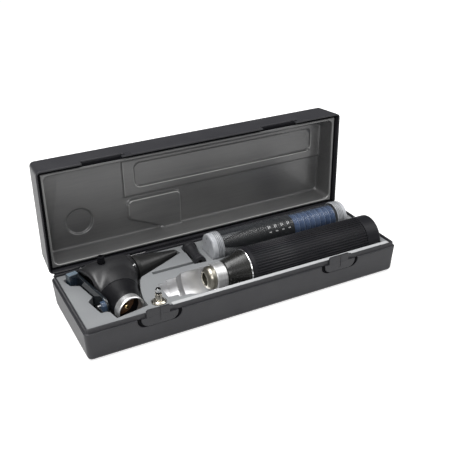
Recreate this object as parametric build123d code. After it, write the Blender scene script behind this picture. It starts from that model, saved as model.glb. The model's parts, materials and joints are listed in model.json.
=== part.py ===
# Otoscope carry case: a hinged moulded case, its formed tray and liner, and the instruments in it.
# Frame: millimetres, +X right along the front, +Y to the hinge side, +Z up.
# Origin: centre of the base's underside. The case is drawn open, with the lid upright.
from build123d import *
import os
from math import cos, radians, sin

# ---- clearances shared by many pieces -----------------------------------------------------------
fit_play = 0.05
seat_gap = 0.3
edge_break = 0.3
through = 1.0

# ---- case -------------------------------------------------------------------------------------
corner_radius = 3.2
least_corner = 0.8
base_height = 20.0
base_draft = 1.2
base_edge_radius = 3.0
base_floor = 2.0
base_wall = 2.65
lip_height = 2.8
lip_inset = 1.4
lip_play = 0.2
lid_height = 24.4
lid_draft = 1.5
lid_edge_radius = 2.0
lid_wall = 2.2
lid_top = 2.1
rim_gap = 0.15
rebate_depth = 3.3
ledge_inset = 3.9
ledge_thickness = 1.2

# ---- hinge ------------------------------------------------------------------------------------
hinge_offset = 1.5
hinge_margin = 44.5
knuckle_radius = 2.2
knuckle_width = 12.0
knuckle_play = 0.25
knuckle_web = 6.5
knuckle_root = 0.6
pin_radius = 1.0
pin_play = 0.05
rail_reach = 1.2
rail_height = 1.8

# ---- sliding latches ----------------------------------------------------------------------------
latch_margin = 48.0
pocket_width = 29.6
pocket_drop = 6.2
slider_width = 24.4
slider_play = 0.1
slider_rise = 5.4
slider_root = 0.5
cup_roundness = 0.85
tab_width = 17.7
tab_corner = 1.4
nose_length = 2.2
nose_bottom = 2.5
nose_top = 4.4
nose_play = 0.25
thumb_groove_width = 0.9
thumb_groove_depth = 0.35
thumb_groove_share = 0.6
notch_depth = 5.7
notch_play = 9.0
keeper_width = 6.6
keeper_gap = 0.35
stem_width = 9.0
stem_height = 2.4
stem_drop = 3.4
stem_head = 1.2
stem_lap = 1.2
slide_travel = 2.4

# ---- tray ---------------------------------------------------------------------------------------
tray_sheet = 1.0
tray_gap = 0.3
tray_rise = 1.5

# ---- battery handle, along X --------------------------------------------------------------------
neck_radius = 8.0
neck_bore = 4.3
neck_bore_depth = 6.5
neck_exposed = 5.8
neck_nose = 2.6
neck_nose_radius = 5.9
neck_rounding = 4.0
neck_root = 4.0
neck_mouth = 0.5
neck_flange_start = 1.5
neck_flange = 0.8
ring_radius = 9.0
ring_length = 8.0
ring_bevel = 0.4
ring_play = 0.2
cone_length = 15.0
cone_radius = 13.3
cone_wall = 1.6
cone_collar = 1.0
chrome_length = 1.2
chrome_radius = 13.7
band_length = 2.8
sleeve_radius = 14.0
rib_count = 48
rib_depth = 0.45
rib_share = 0.55
rib_taper = 0.6
rib_end_gap = 0.8
cell_radius = 12.9
cell_length = 49.4
cell_edge = 0.8
cell_nub_radius = 2.8
cell_nub_height = 1.5
cell_play = 0.15
spigot_length = 3.8
spigot_wall = 0.4
cap_radius = 14.3
cap_length = 11.2
cap_groove = 0.6
cap_end_wall = 1.2
cap_rounding = 1.7
spring_room = 1.0
spring_sheet = 0.3
spring_crown_radius = 3.0
spring_foot_radius = 8.0
spring_rim_radius = 12.0
contact_radius = 1.5
contact_reach = 1.5
contact_head = 1.0
insulator_length = 4.0
handle_drop = 0.3

# ---- otoscope head, lying on its side -----------------------------------------------------------
head_turn = 11.0
head_roll = 1.5
back_plane = 2.5
barrel_sections = (
    # ahead of the back plane, centre offset, half width, half height
    (back_plane, -4.0, 16.8, 11.2),
    (6.0, -2.5, 16.4, 12.4),
    (12.0, -1.0, 15.6, 13.0),
    (20.0, -1.0, 14.6, 13.0),
    (28.0, -0.6, 13.7, 12.2),
    (35.0, -0.6, 12.4, 11.0),
)
flare_sections = (
    # down the neck, front edge, half height
    (-8.0, 34.0, 12.2),
    (-15.0, 32.5, 11.7),
    (-24.0, 27.5, 10.6),
    (-30.0, 24.4, 10.0),
    (-36.0, 20.8, 9.2),
)
seam_v = -24.0
nose_root = 30.0
nose_radius = 8.8
nose_end = 38.2
nose_tip_radius = 8.3
spigot_radius = 6.8
spigot_reach = 5.0
optic_radius = 5.6
optic_taper = 0.6
window_width = 20.0
window_height = 15.0
window_depth = 6.0
window_corner = 4.0
lamp_bore = 5.2
lamp_well_end = -6.0
socket_wall = 1.3
socket_depth = 8.0
socket_length = 5.6
socket_play = 0.1
socket_floor = 4.0
socket_collar_rise = 1.2
socket_collar_inset = 2.5
socket_contact_rise = 4.4
speculum_gap = 0.2
speculum_play = 0.07
speculum_rim_radius = 8.4
speculum_rim_length = 2.6
speculum_cone_radius = 8.0
speculum_tip_radius = 2.0
speculum_end = 73.0
speculum_wall = 0.6
port_u = 15.5
port_v = 1.2
port_radius = 2.4
port_bore = 1.1
port_top = 17.5
port_seat = 11.0
port_head = 2.2
port_barb = 0.4
screw_v = -7.4
screw_w = 7.2
screw_radius = 1.2
screw_shank = 0.72
screw_height = 0.7
screw_depth = 4.0
lens_gap = 0.3
lens_thickness = 1.9
lug_thickness = 4.8
lens_pivot_v = -25.5
lens_half_height = 6.0
lens_end_v = 14.5
lens_corner = 2.5
front_lug_length = 4.6
rear_lug_length = 6.2
pivot_radius = 1.1
pivot_depth = 3.0
pivot_inset = 1.0

# ---- specula tube, along X ----------------------------------------------------------------------
tube_lift = 4.5
tube_radius = 9.5
tube_wall = 0.7
tube_cap_wall = 0.45
tube_cap_length = 8.2
tube_cap_end = 1.2
tube_cap_rib = 0.15
tube_cap_ribs = 4
tube_cap_rib_pitch = 1.1
tube_cap_rib_width = 0.5
tube_cap_rib_edge = 0.1
tube_cap_bevel = 0.8
stored_length = 31.0
stored_cone_radius = 7.9
stored_tip_radius = 2.1
stored_wall = 0.55
stored_rim_length = 2.4
stored_rim_lip = 0.45
black_lead = 38.7
black_pitch = 5.2
black_count = 6
blue_count = 8
blue_tail = 8.3

# ---- small spares in the tray -------------------------------------------------------------------
lamp_flange_radius = 4.6
lamp_flange_height = 2.4
lamp_flange_edge = 1.2
lamp_flange_rim = 0.55
lamp_sink = 1.2
lamp_body_radius = 2.2
lamp_body_height = 4.6
lamp_glass_radius = 1.9
lamp_glass_height = 4.2
lamp_dome = 1.4
lamp_spigot_radius = 2.6
lamp_spigot_length = 5.0
lamp_seat_play = 0.4
adapter_turn = 4.4
adapter_length = 25.4
adapter_waist_radius = 3.4
adapter_front_radius = 4.2
adapter_rear_radius = 5.0
adapter_bore = 1.6
adapter_collar = 3.0
adapter_flare = 7.0
adapter_step = 1.0
adapter_neck = 2.0
adapter_lip = 0.6

# ---- how the pieces are laid out in the case ------------------------------------------------------
head_zone = 88.7
end_margin = 7.5
front_margin = 8.0
rear_margin = 12.7
row_margin = 4.9
head_lead = 14.7
head_back = 23.85
tube_lead = 18.1
tube_tail = 14.0
lamp_lead = 52.2
lamp_front = 12.1
adapter_lead = 8.2
adapter_back = 18.2

# ---- recesses in the tray -----------------------------------------------------------------------
trough_first_lead = 29.2
trough_first_radius = 8.6
trough_second_lead = 22.7
trough_second_radius = 11.2
trough_slope_lead = 15.4
trough_full_lead = 10.7
pocket_edge = -0.2
lug_pocket_edge = pocket_edge - 5.0
body_pocket_floor = 13.3
body_pocket = (
    # along the optical axis, towards the case's rear
    (pocket_edge, -24.5), (28.6, -24.5), (33.6, -16.0), (37.0, -12.5), (40.0, 13.5),
    (3.8, 17.6), (pocket_edge, 17.6),
)
neck_pocket_floor = 11.6
neck_pocket = (
    (pocket_edge, -44.0), (22.0, -44.0), (23.2, -37.0), (26.0, -30.0), (28.6, -24.5),
    (pocket_edge, -24.5),
)
speculum_pocket_floor = 9.0
speculum_pocket = (
    (33.0, -13.8), (59.7, -6.8), (71.0, -3.6), (75.5, -2.6), (75.0, 4.0), (54.0, 6.4), (46.0, 9.8),
    (44.0, 13.5), (33.0, 13.5),
)
lug_pocket_floor = 7.4
rear_lug_pocket = (
    (lug_pocket_edge, 7.0), (-5.6, 16.2), (1.8, 17.6), (1.8, 3.2), (pocket_edge, 3.2),
)
front_lug_pocket = (
    (lug_pocket_edge, -17.2), (pocket_edge, -13.6), (1.8, -13.6), (1.8, -38.0), (-1.6, -34.0),
    (lug_pocket_edge, -33.0),
)
slot_back = 28.6
slot_width = 3.0
slot_depth = 4.0
slot_lead = 61.5

# ---- liner in the lid, drawn with the lid closed ------------------------------------------------
liner_sheet = 0.8
flange_inset = 3.4
pan_depth = 13.15
pan_low_side = 5.0
pan_high_side = 6.2
pan_low_front = 5.3
pan_high_front = 10.4
pan_low_rear = 4.9
pan_high_rear = 6.4
pan_corner = 2.0
panel_rise = 1.4
spare_panel_rise = 1.1
panel_corner = 1.9
handle_panel_corner = 4.0
tube_panel_corner = 1.6
dimple_rise = 4.2
dimple_radius = 9.5
dimple_lead = 29.1
dimple_back = 24.7
head_panel = (
    # from the case's left end, from its rear edge
    (16.0, 63.1), (60.5, 63.1), (60.5, 31.1), (65.5, 19.6), (83.5, 10.1), (85.5, 6.1),
    (22.5, 6.1), (9.5, 10.9), (9.5, 31.1),
)
spare_panel = (
    (64.0, 32.1), (103.5, 32.1), (107.5, 28.1), (107.5, 6.1), (87.5, 6.1), (85.0, 10.6), (64.0, 21.1),
)
tube_panel = (
    # from the case's left end or, for the right side, from its right end
    (112.0, 32.1), (-10.5, 32.1), (-10.5, 6.1), (109.5, 6.1), (109.5, 29.1),
)
handle_panel = ((70.0, 59.6), (-23.0, 59.6), (-23.0, 42.1), (70.0, 42.1))

# ---- sizes that follow from the ones above --------------------------------------------------------
sleeve_lead = neck_exposed + ring_length + cone_length + chrome_length
cells_length = 2 * cell_length + cell_nub_height
handle_length = sleeve_lead + seat_gap + cells_length + spring_room + cap_end_wall
case_length = head_zone + handle_length + end_margin
tube_cap_radius = tube_radius + fit_play + tube_cap_wall
case_depth = front_margin + 2 * cap_radius + row_margin + 2 * tube_cap_radius + rear_margin
left_end = -case_length / 2
right_end = case_length / 2
hinge_spacing = case_length - 2 * hinge_margin
latch_spacing = case_length - 2 * latch_margin
rear_edge = case_depth / 2
hinge_y = case_depth / 2 + hinge_offset
hinge_z = base_height
rim_z = base_height + rim_gap
lip_top = base_height + lip_height
rebate_inset = lip_inset - lip_play
tray_level = base_height + tray_rise
handle_front = left_end + head_zone
handle_y = -case_depth / 2 + front_margin + cap_radius
handle_z = tray_level - handle_drop
cone_start = handle_front + neck_exposed + ring_length
sleeve_start = handle_front + sleeve_lead
cell_start = sleeve_start + seat_gap
cap_end = handle_front + handle_length
cap_start = cap_end - cap_length
sleeve_end = cap_start - cap_groove
cell_bore = cell_radius + cell_play
trough_radius = cap_radius + seat_gap
head_x = left_end + head_lead
head_y = rear_edge - head_back
neck_u = back_plane - 0.1 + flare_sections[-1][2]
neck_end = flare_sections[-1][0]
socket_face = neck_end - socket_length
spigot_end = nose_end + spigot_reach
tube_y = rear_edge - rear_margin - tube_cap_radius
tube_z = tray_level + tube_lift
tube_start = handle_front + tube_lead
tube_end = right_end - tube_tail
lamp_x = left_end + lamp_lead
lamp_y = -rear_edge + lamp_front
adapter_x = handle_front + adapter_lead
adapter_y = rear_edge - adapter_back
liner_floor = rim_z + rebate_depth + pan_depth
os.makedirs("parts", exist_ok=True)


# ---- shared helpers -----------------------------------------------------------------------------
def block(x0, x1, y0, y1, z0, z1):
    """A box between two corners."""
    centre = Pos((x0 + x1) / 2, (y0 + y1) / 2, (z0 + z1) / 2)
    return centre * Box(x1 - x0, y1 - y0, z1 - z0)


def drafted(inset, z_wide, z_narrow, draft):
    """A rounded block of the case's outline, inset all round, that narrows from one level to another."""
    wide = Plane.XY.offset(z_wide) * RectangleRounded(
        case_length - 2 * inset, case_depth - 2 * inset, max(corner_radius - inset, least_corner))
    narrow = Plane.XY.offset(z_narrow) * RectangleRounded(
        case_length - 2 * inset - 2 * draft,
        case_depth - 2 * inset - 2 * draft,
        max(corner_radius - inset, least_corner),
    )
    return loft([wide, narrow])


def straight(inset, z0, z1):
    """A rounded block of the case's outline, inset all round, with upright walls."""
    outline = RectangleRounded(
        case_length - 2 * inset, case_depth - 2 * inset, max(corner_radius - inset, least_corner))
    return extrude(Plane.XY.offset(z0) * outline, amount=z1 - z0)


def turned(profile, origin=(0, 0, 0)):
    """A profile of (along, radius) points turned about the X axis through an origin."""
    outline = make_face(Polyline(*[(a, r, 0) for a, r in profile], close=True))
    return Pos(*origin) * revolve(outline, axis=Axis.X)


def ring(x0, x1, outer, inner):
    """A plain ring or bush about the X axis."""
    return turned([(x0, inner), (x1, inner), (x1, outer), (x0, outer)])


def joined(solids):
    """The union of a list of solids."""
    whole = solids[0]
    for solid in solids[1:]:
        whole = whole + solid
    return whole


def save(name, solids):
    """Write one node, as a solid or as a group of separate solids."""
    pieces = solids if isinstance(solids, list) else [solids]
    bodies = [body for piece in pieces for body in piece.solids()]
    shape = bodies[0] if len(bodies) == 1 else Compound(children=bodies)
    export_step(shape, "parts/" + name + ".step")


def opened(shape):
    """Turn a shape drawn with the lid closed about the hinge to the open, upright lid."""
    return Pos(0, hinge_y, hinge_z) * Rot(-90, 0, 0) * Pos(0, -hinge_y, -hinge_z) * shape


# ---- hinge --------------------------------------------------------------------------------------
def knuckle(x_middle, width, web_up):
    """A hinge barrel with a tapered web to the case's rear wall."""
    wall_y = rear_edge - knuckle_root
    reach = knuckle_web if web_up else -knuckle_web
    web = make_face(Polyline(
        (wall_y, hinge_z, 0),
        (hinge_y + knuckle_radius, hinge_z, 0),
        (wall_y, hinge_z + reach, 0),
        close=True,
    ))
    side = web + Pos(hinge_y, hinge_z) * Circle(knuckle_radius)
    upright = Plane(origin=(x_middle - width / 2, 0, 0), x_dir=(0, 1, 0), z_dir=(1, 0, 0))
    return extrude(upright * side, amount=width)


def hinge_bar(x_middle, width, radius):
    """A round bar on the hinge axis."""
    return Pos(x_middle, hinge_y, hinge_z) * Rot(0, 90, 0) * Cylinder(radius, width)


def hinge_sides():
    """The middle of each of the two hinges."""
    return (-hinge_spacing / 2, hinge_spacing / 2)


def lid_knuckle_places(x_middle):
    """The middles of the lid's two knuckles at one hinge."""
    step = knuckle_width * 0.75 + knuckle_play
    return (x_middle - step, x_middle + step)


def hinge_rail():
    """The ledge along the lid's rear rim that covers the joint at the hinge."""
    reach = right_end - corner_radius
    return block(-reach, reach, rear_edge - knuckle_root, rear_edge + rail_reach,
                 rim_z, rim_z + rail_height)


def hinge_pins():
    length = 2 * knuckle_width + 2 * knuckle_play
    return [hinge_bar(x, length, pin_radius) for x in hinge_sides()]


# ---- base ---------------------------------------------------------------------------------------
def base_outer():
    """The base's outer block, with its lower edges rounded."""
    outer = drafted(0, base_height, 0, base_draft)
    lower = outer.faces().sort_by(Axis.Z)[0]
    return fillet(lower.edges(), base_edge_radius)


def base_shell():
    """The moulded lower shell: walls, upstanding lip, hinge knuckles and latch pockets."""
    shell = base_outer() + straight(lip_inset, base_height - through, lip_top)
    hollow = drafted(base_wall, base_height, base_floor, base_draft)
    hollow = hollow + straight(base_wall, base_height, lip_top + through)
    shell = shell - hollow
    for x in hinge_sides():
        shell = shell + knuckle(x, knuckle_width, False)
        for lid_x in lid_knuckle_places(x):
            shell = shell - hinge_bar(lid_x, knuckle_width / 2 + 2 * knuckle_play,
                                      knuckle_radius + seat_gap)
    for x in hinge_sides():
        shell = shell - hinge_bar(x, 4 * knuckle_width, pin_radius + pin_play)
    for x in latch_places():
        shell = shell - latch_pocket(x) - stem_slot(x)
    return shell


# ---- latches ------------------------------------------------------------------------------------
def latch_places():
    """The middle of each latch along the front."""
    return (-latch_spacing / 2, latch_spacing / 2)


def cup_outline(x, width, drop, rise):
    """A plate outline with a level top and large round lower corners, in the XZ plane."""
    low = base_height - drop
    high = base_height + rise
    corner = drop * cup_roundness
    outline = make_face(Polyline(
        (x - width / 2, low, 0), (x + width / 2, low, 0),
        (x + width / 2, high, 0), (x - width / 2, high, 0), close=True))
    lower = outline.vertices().sort_by(Axis.Y)[:2]
    return fillet(lower, corner)


def front_plate(outline, y0, y1):
    """An outline in the XZ plane made into a plate between two depths."""
    facing = Plane(origin=(0, y0, 0), x_dir=(1, 0, 0), z_dir=(0, -1, 0))
    return extrude(facing * outline, amount=-(y1 - y0))


def latch_pocket(x):
    """The shallow pocket in the front wall that a latch slides in."""
    outline = cup_outline(x, pocket_width, pocket_drop, lip_height + through)
    return front_plate(outline, -case_depth, rebate_inset - rear_edge)


def stem_slot(x):
    """The slot that a latch's stem slides in."""
    half = stem_width / 2 + slide_travel + slider_play
    middle = base_height - stem_drop
    return block(x - half, x + half, -rear_edge, base_wall + base_draft - rear_edge,
                 middle - stem_height / 2 - slider_play, middle + stem_height / 2 + slider_play)


def latch_tab(x, back):
    """The raised tab of a latch, cut back to leave a locking nose on its right side."""
    left = x - tab_width / 2
    right = x + tab_width / 2
    face = slider_play - rear_edge
    top = base_height + slider_rise
    tab = block(left, right, face, back, base_height - through, top)
    crest = tab.edges().filter_by(Axis.Y).sort_by(Axis.Z)[-2:]
    tab = fillet(crest, tab_corner)
    root = right - nose_length
    above = block(root, right + through, face - through, back + through,
                  base_height + nose_top, top + through)
    below = block(root, right + through, face - through, back + through,
                  base_height + 2 * slider_play, base_height + nose_bottom)
    return tab - above - below


def latch_stem(x, back):
    """The stem behind a latch, with the head that holds it in its slot."""
    inner = base_wall - rear_edge
    middle = base_height - stem_drop
    low = stem_drop + stem_height / 2 + stem_lap
    half = stem_width / 2
    stem = block(x - half, x + half, back - slider_root, inner + stem_head,
                 middle - stem_height / 2, middle + stem_height / 2)
    head_face = inner + low * base_draft / base_height + slider_play
    head = block(x - half, x + half, head_face, inner + stem_head,
                 base_height - low, middle + stem_height / 2 + stem_lap)
    return stem + head


def latch(x):
    """A sliding latch: front plate with a thumb groove, tab with a locking nose, and a stem."""
    back = rebate_inset - slider_play - rear_edge
    plate = front_plate(cup_outline(x, slider_width, pocket_drop - slider_play, 0), -case_depth, back)
    plate = plate & base_outer()
    half = thumb_groove_width / 2
    groove = block(x - half, x + half, -case_depth, slider_play + thumb_groove_depth - rear_edge,
                   base_height - pocket_drop * thumb_groove_share, base_height + slider_rise + through)
    return plate + latch_tab(x, back) + latch_stem(x, back) - groove


def stem_window(x):
    """The opening in the tray's skirt behind a latch, clear of the stem's retaining head."""
    half = stem_width / 2 + slide_travel + seat_gap
    low = base_height - stem_drop - stem_height / 2 - stem_lap - seat_gap
    high = base_height - stem_drop + stem_height / 2 + stem_lap + seat_gap
    back = base_wall + stem_head + seat_gap - rear_edge
    return block(x - half, x + half, -rear_edge, back, low, high)


def keeper(x):
    """A catch block in the lid's notch, with a side slot that takes the latch's nose."""
    start = x + tab_width / 2 + keeper_gap
    face = slider_play + fit_play - rear_edge
    back = rebate_inset - rear_edge
    body = block(start, start + keeper_width, face, back, rim_z, rim_z + notch_depth)
    slot = block(start - through, start + slide_travel + keeper_gap + 2 * slider_play,
                 face - through, back + through,
                 base_height + nose_bottom - nose_play, base_height + nose_top + nose_play)
    return body - slot


# ---- lid ----------------------------------------------------------------------------------------
def lid_notch(x):
    """The recess in the lid's front wall that the latch tab rises into."""
    left = x - tab_width / 2 - notch_play
    right = x + tab_width / 2 + keeper_gap + keeper_width
    notch = block(left, right, -case_depth, rebate_inset - rear_edge,
                  rim_z - through, rim_z + notch_depth)
    corner = notch.edges().filter_by(Axis.Y).sort_by(Axis.Z)[-2:].sort_by(Axis.X)[:1]
    return fillet(corner, tab_corner)


def lid_ledge():
    """The ledge round the inside of the lid that the liner's flange is fixed to."""
    low = rim_z + rebate_depth
    ledge = straight(rebate_inset, low, low + ledge_thickness)
    return ledge - straight(ledge_inset, low - through, low + ledge_thickness + through)


def lid_shell():
    """The moulded lid: drafted walls, rim rebate and ledge, latch notches, hinge rail and knuckles."""
    top = rim_z + lid_height
    shell = drafted(0, rim_z, top, lid_draft)
    shell = fillet(shell.faces().sort_by(Axis.Z)[-1].edges(), lid_edge_radius)
    shell = shell - drafted(lid_wall, rim_z, top - lid_top, lid_draft)
    shell = shell - straight(rebate_inset, rim_z - through, rim_z + rebate_depth)
    shell = shell + lid_ledge() + hinge_rail()
    for x in hinge_sides():
        for lid_x in lid_knuckle_places(x):
            shell = shell + knuckle(lid_x, knuckle_width / 2, True)
        shell = shell - hinge_bar(x, knuckle_width + 2 * knuckle_play, knuckle_radius + seat_gap)
        shell = shell - hinge_bar(x, 4 * knuckle_width, pin_radius + pin_play)
    for x in latch_places():
        shell = shell - lid_notch(x)
    return opened(shell)


def latch_keepers():
    return [opened(keeper(x)) for x in latch_places()]


def placed_outline(points):
    """An outline measured from the case's ends and rear edge, set in the case's frame."""
    return [((left_end if x > 0 else right_end) + x, rear_edge - y) for x, y in points]


def face_of(points):
    """A flat face on a closed run of (x, y) points."""
    return make_face(Polyline(*[(x, y, 0) for x, y in points], close=True))


def panel(points, rise, rounding, grow):
    """One flat-bottomed panel pressed into the liner, grown by a sheet thickness."""
    outline = face_of(placed_outline(points))
    outline = fillet(outline.vertices(), rounding)
    if grow:
        outline = offset(outline, amount=grow)
    floor = rim_z + rebate_depth
    return Pos(0, 0, floor) * extrude(outline, amount=liner_floor + rise + grow - floor)


def pan_section(z, side, front, rear, grow):
    """One level of the liner's pan, set in from the case's sides, front and rear."""
    middle = (front - rear) / 2
    across = case_depth - front - rear + 2 * grow
    along = case_length - 2 * side + 2 * grow
    return Plane.XY.offset(z) * Pos(0, middle) * RectangleRounded(along, across, pan_corner + grow)


def liner_cavity(grow):
    """The space under the liner with the lid closed, grown by a sheet thickness."""
    low = pan_section(rim_z + rebate_depth - liner_sheet, pan_low_side, pan_low_front,
                      pan_low_rear, grow)
    high = pan_section(liner_floor + grow, pan_high_side, pan_high_front, pan_high_rear, grow)
    panels = (
        panel(head_panel, panel_rise, panel_corner, grow),
        panel(handle_panel, panel_rise, handle_panel_corner, grow),
        panel(spare_panel, spare_panel_rise, panel_corner, grow),
        panel(tube_panel, panel_rise, tube_panel_corner, grow),
    )
    depth = dimple_rise + grow
    dimple = Pos(left_end + dimple_lead, rear_edge - dimple_back, liner_floor + depth / 2) * Cylinder(
        dimple_radius + grow, depth)
    return joined([loft([low, high]), *panels, dimple])


def lid_liner():
    """The formed liner: a flange on the lid's ledge and a pan with pressed panels."""
    seat = rim_z + rebate_depth
    flange = straight(flange_inset, seat - liner_sheet, seat)
    return opened(flange + liner_cavity(liner_sheet) - liner_cavity(0))


# ---- tray ---------------------------------------------------------------------------------------
def handle_trough(grow):
    """The stepped half-round recess under the handle."""
    first = handle_front - trough_first_lead - grow
    second = handle_front - trough_second_lead - grow
    slope = handle_front - trough_slope_lead - grow
    full = handle_front - trough_full_lead - grow
    end = cap_end + seat_gap + grow
    return turned([
        (first, 0), (first, trough_first_radius + grow), (second, trough_first_radius + grow),
        (second, trough_second_radius + grow), (slope, trough_second_radius + grow),
        (full, trough_radius + grow), (end, trough_radius + grow), (end, 0)],
        (0, handle_y, handle_z))


def tube_trough(grow):
    """The recess under the specula tube."""
    radius = tube_cap_radius + tube_cap_rib + seat_gap + grow
    room = tube_cap_end + 2 * seat_gap + grow
    start = tube_start - room
    end = tube_end + room
    return turned([(start, 0), (start, radius), (end, radius), (end, 0)], (0, tube_y, tube_z))


def head_pose():
    """The head's place: optical axis in the tray's plane, neck towards the front."""
    return Pos(head_x, head_y, tray_level) * Rot(0, 0, head_turn) * Rot(head_roll, 0, 0)


def pocket(points, floor, grow):
    """A flat-bottomed pocket for the head below the tray's plane, grown by a sheet thickness."""
    outline = face_of(points)
    if grow:
        outline = offset(outline, amount=grow, kind=Kind.INTERSECTION)
    solid = extrude(outline, amount=floor + grow + through, dir=(0, 0, 1))
    pose = Pos(head_x, head_y, tray_level - floor - grow) * Rot(0, 0, head_turn)
    return pose * solid


def head_pockets(grow):
    """The recess for the otoscope head: body, neck, speculum and lens lugs."""
    return [
        pocket(body_pocket, body_pocket_floor, grow),
        pocket(neck_pocket, neck_pocket_floor, grow),
        pocket(speculum_pocket, speculum_pocket_floor, grow),
        pocket(rear_lug_pocket, lug_pocket_floor, grow),
        pocket(front_lug_pocket, lug_pocket_floor, grow),
    ]


def adapter_pose():
    """The spare adapter's place, lying across the tray."""
    return Pos(adapter_x, adapter_y, tray_level) * Rot(0, 0, 90 - adapter_turn)


def adapter_pocket(grow):
    """The recess under the spare adapter, wider at its flared end."""
    half = adapter_length / 2
    bed = adapter_rear_radius + seat_gap + grow
    narrow = adapter_front_radius + seat_gap + grow
    front = -half - seat_gap - grow
    step = half - adapter_flare - adapter_step - grow
    rear = half + seat_gap + grow
    return adapter_pose() * turned([
        (front, 0), (front, narrow), (step, narrow), (step, bed), (rear, bed), (rear, 0)])


def sunk_disc(radius, depth):
    """A round sink for the spare lamp, from the tray's plane down."""
    return Pos(lamp_x, lamp_y, tray_level + (through - depth) / 2) * Cylinder(radius, depth + through)


def small_pockets(grow):
    """The recesses for the spare lamp, the spare adapter and the thin slot."""
    seat = sunk_disc(lamp_flange_radius + lamp_seat_play + grow, lamp_sink + grow)
    hole = sunk_disc(lamp_spigot_radius + lamp_seat_play + grow,
                     lamp_sink + lamp_spigot_length + lamp_seat_play + grow)
    slot_y = rear_edge - slot_back
    slot = block(left_end + slot_lead - grow, adapter_x, slot_y - slot_width / 2 - grow,
                 slot_y + slot_width / 2 + grow, tray_level - slot_depth - grow, tray_level + through)
    return [adapter_pocket(grow), seat, hole, slot]


def tray_cavity(grow):
    """Every recess of the tray, grown by a sheet thickness, below the tray's plane."""
    return joined([handle_trough(grow), tube_trough(grow), *head_pockets(grow), *small_pockets(grow)])


def base_tray():
    """The formed tray: a plate with a turned-down skirt that stands on the floor, and recesses."""
    edge = base_wall + tray_gap
    under = tray_level - tray_sheet
    outside = drafted(edge, tray_level, base_floor, base_draft)
    inside = drafted(edge + tray_sheet, tray_level, base_floor, base_draft)
    cover = outside - (inside & straight(0, base_floor, under))
    recesses = tray_cavity(tray_sheet) & outside
    above = straight(edge + tray_sheet, tray_level, tray_level + through)
    hollows = tray_cavity(0) & (inside + above)
    tray = cover + recesses - hollows
    for x in latch_places():
        tray = tray - stem_window(x)
    return tray


# ---- handle -------------------------------------------------------------------------------------
def placed_handle(shape):
    """Put a shape drawn about the X axis on the handle's axis."""
    return Pos(0, handle_y, handle_z) * shape


def neck_lodge(play):
    """Where the neck's flange starts and how wide it is, as the cone holds it."""
    return cone_start + neck_flange_start - play, neck_radius + neck_flange + play


def handle_neck():
    """The plated neck that the head fits over, rounded at its nose, with a flange in the cone."""
    flange, flange_radius = neck_lodge(0)
    end = cone_start + neck_root
    nose = handle_front + neck_nose
    body = turned([
        (handle_front, neck_bore + edge_break), (handle_front, neck_nose_radius - neck_mouth),
        (handle_front + neck_mouth, neck_nose_radius), (nose, neck_radius), (flange, neck_radius),
        (flange, flange_radius), (end, flange_radius), (end, neck_bore),
        (handle_front + edge_break, neck_bore)])
    rims = body.edges().filter_by(GeomType.CIRCLE)
    shoulder = rims.filter_by_position(Axis.X, nose - fit_play, nose + fit_play)
    return placed_handle(fillet(shoulder, neck_rounding))


def contact_insulator():
    start = handle_front + neck_bore_depth
    return placed_handle(ring(start, start + insulator_length, neck_bore - fit_play,
                              contact_radius + fit_play))


def contact_pin():
    """The centre contact, from the neck's socket back to the front cell."""
    tip = handle_front + neck_bore_depth - contact_reach
    end = cell_start - cell_nub_height - seat_gap
    tip_round = contact_radius / 3
    return placed_handle(turned([
        (tip, 0), (tip, contact_radius - tip_round), (tip + tip_round, contact_radius),
        (end - contact_head, contact_radius), (end - contact_head, contact_radius + contact_head),
        (end, contact_radius + contact_head), (end, 0)]))


def control_ring():
    """The turning brightness control, with a small bevel on each edge."""
    start = handle_front + neck_exposed
    end = start + ring_length - ring_play
    bore = neck_radius + fit_play
    shoulder = ring_radius - ring_bevel
    return placed_handle(turned([
        (start, bore), (start, shoulder), (start + ring_bevel, ring_radius),
        (end - ring_bevel, ring_radius), (end, shoulder), (end, bore)]))


def handle_cone():
    """The glossy cone between the control ring and the battery sleeve."""
    end = cone_start + cone_length
    flange, lodge = neck_lodge(fit_play)
    hollow = cone_radius - cone_wall
    return placed_handle(turned([
        (cone_start, neck_radius + fit_play), (flange, neck_radius + fit_play), (flange, lodge),
        (cone_start + neck_root + seat_gap, lodge), (end - 2 * cone_wall, hollow - cone_wall / 2),
        (end, hollow), (end, cone_radius), (cone_start + cone_collar, ring_radius + cone_collar / 2),
        (cone_start, ring_radius)]))


def chrome_ring():
    start = cone_start + cone_length
    inner = cone_radius - cone_wall
    shoulder = chrome_radius - edge_break
    return placed_handle(turned([
        (start, inner), (start + chrome_length, inner), (start + chrome_length, shoulder),
        (start + chrome_length / 2, chrome_radius), (start, shoulder)]))


def rib_valley():
    """The section of one groove between two grip ribs, open to the outside."""
    step = radians(180 / rib_count * (1 - rib_share))
    inner = sleeve_radius - rib_depth
    outer = sleeve_radius + edge_break
    low = step * rib_taper
    return make_face(Polyline(
        (inner * cos(low), inner * sin(low)), (outer * cos(step), outer * sin(step)),
        (outer * cos(step), -outer * sin(step)), (inner * cos(low), -inner * sin(low)), close=True))


def handle_sleeve():
    """The battery sleeve: a smooth band, lengthwise grip ribs and a spigot for the end cap."""
    band_end = sleeve_start + band_length
    spigot = cell_bore + spigot_wall
    body = turned([
        (sleeve_start, cell_bore), (sleeve_end + spigot_length, cell_bore),
        (sleeve_end + spigot_length, spigot), (sleeve_end, spigot), (sleeve_end, sleeve_radius),
        (sleeve_start + edge_break, sleeve_radius), (sleeve_start, sleeve_radius - edge_break)])
    across = Plane(origin=(band_end, 0, 0), x_dir=(0, 1, 0), z_dir=(1, 0, 0))
    cutter = extrude(across * rib_valley(), amount=sleeve_end - rib_end_gap - band_end)
    cutters = [Rot(360 / rib_count * n, 0, 0) * cutter for n in range(rib_count)]
    return placed_handle(body - cutters)


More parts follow.
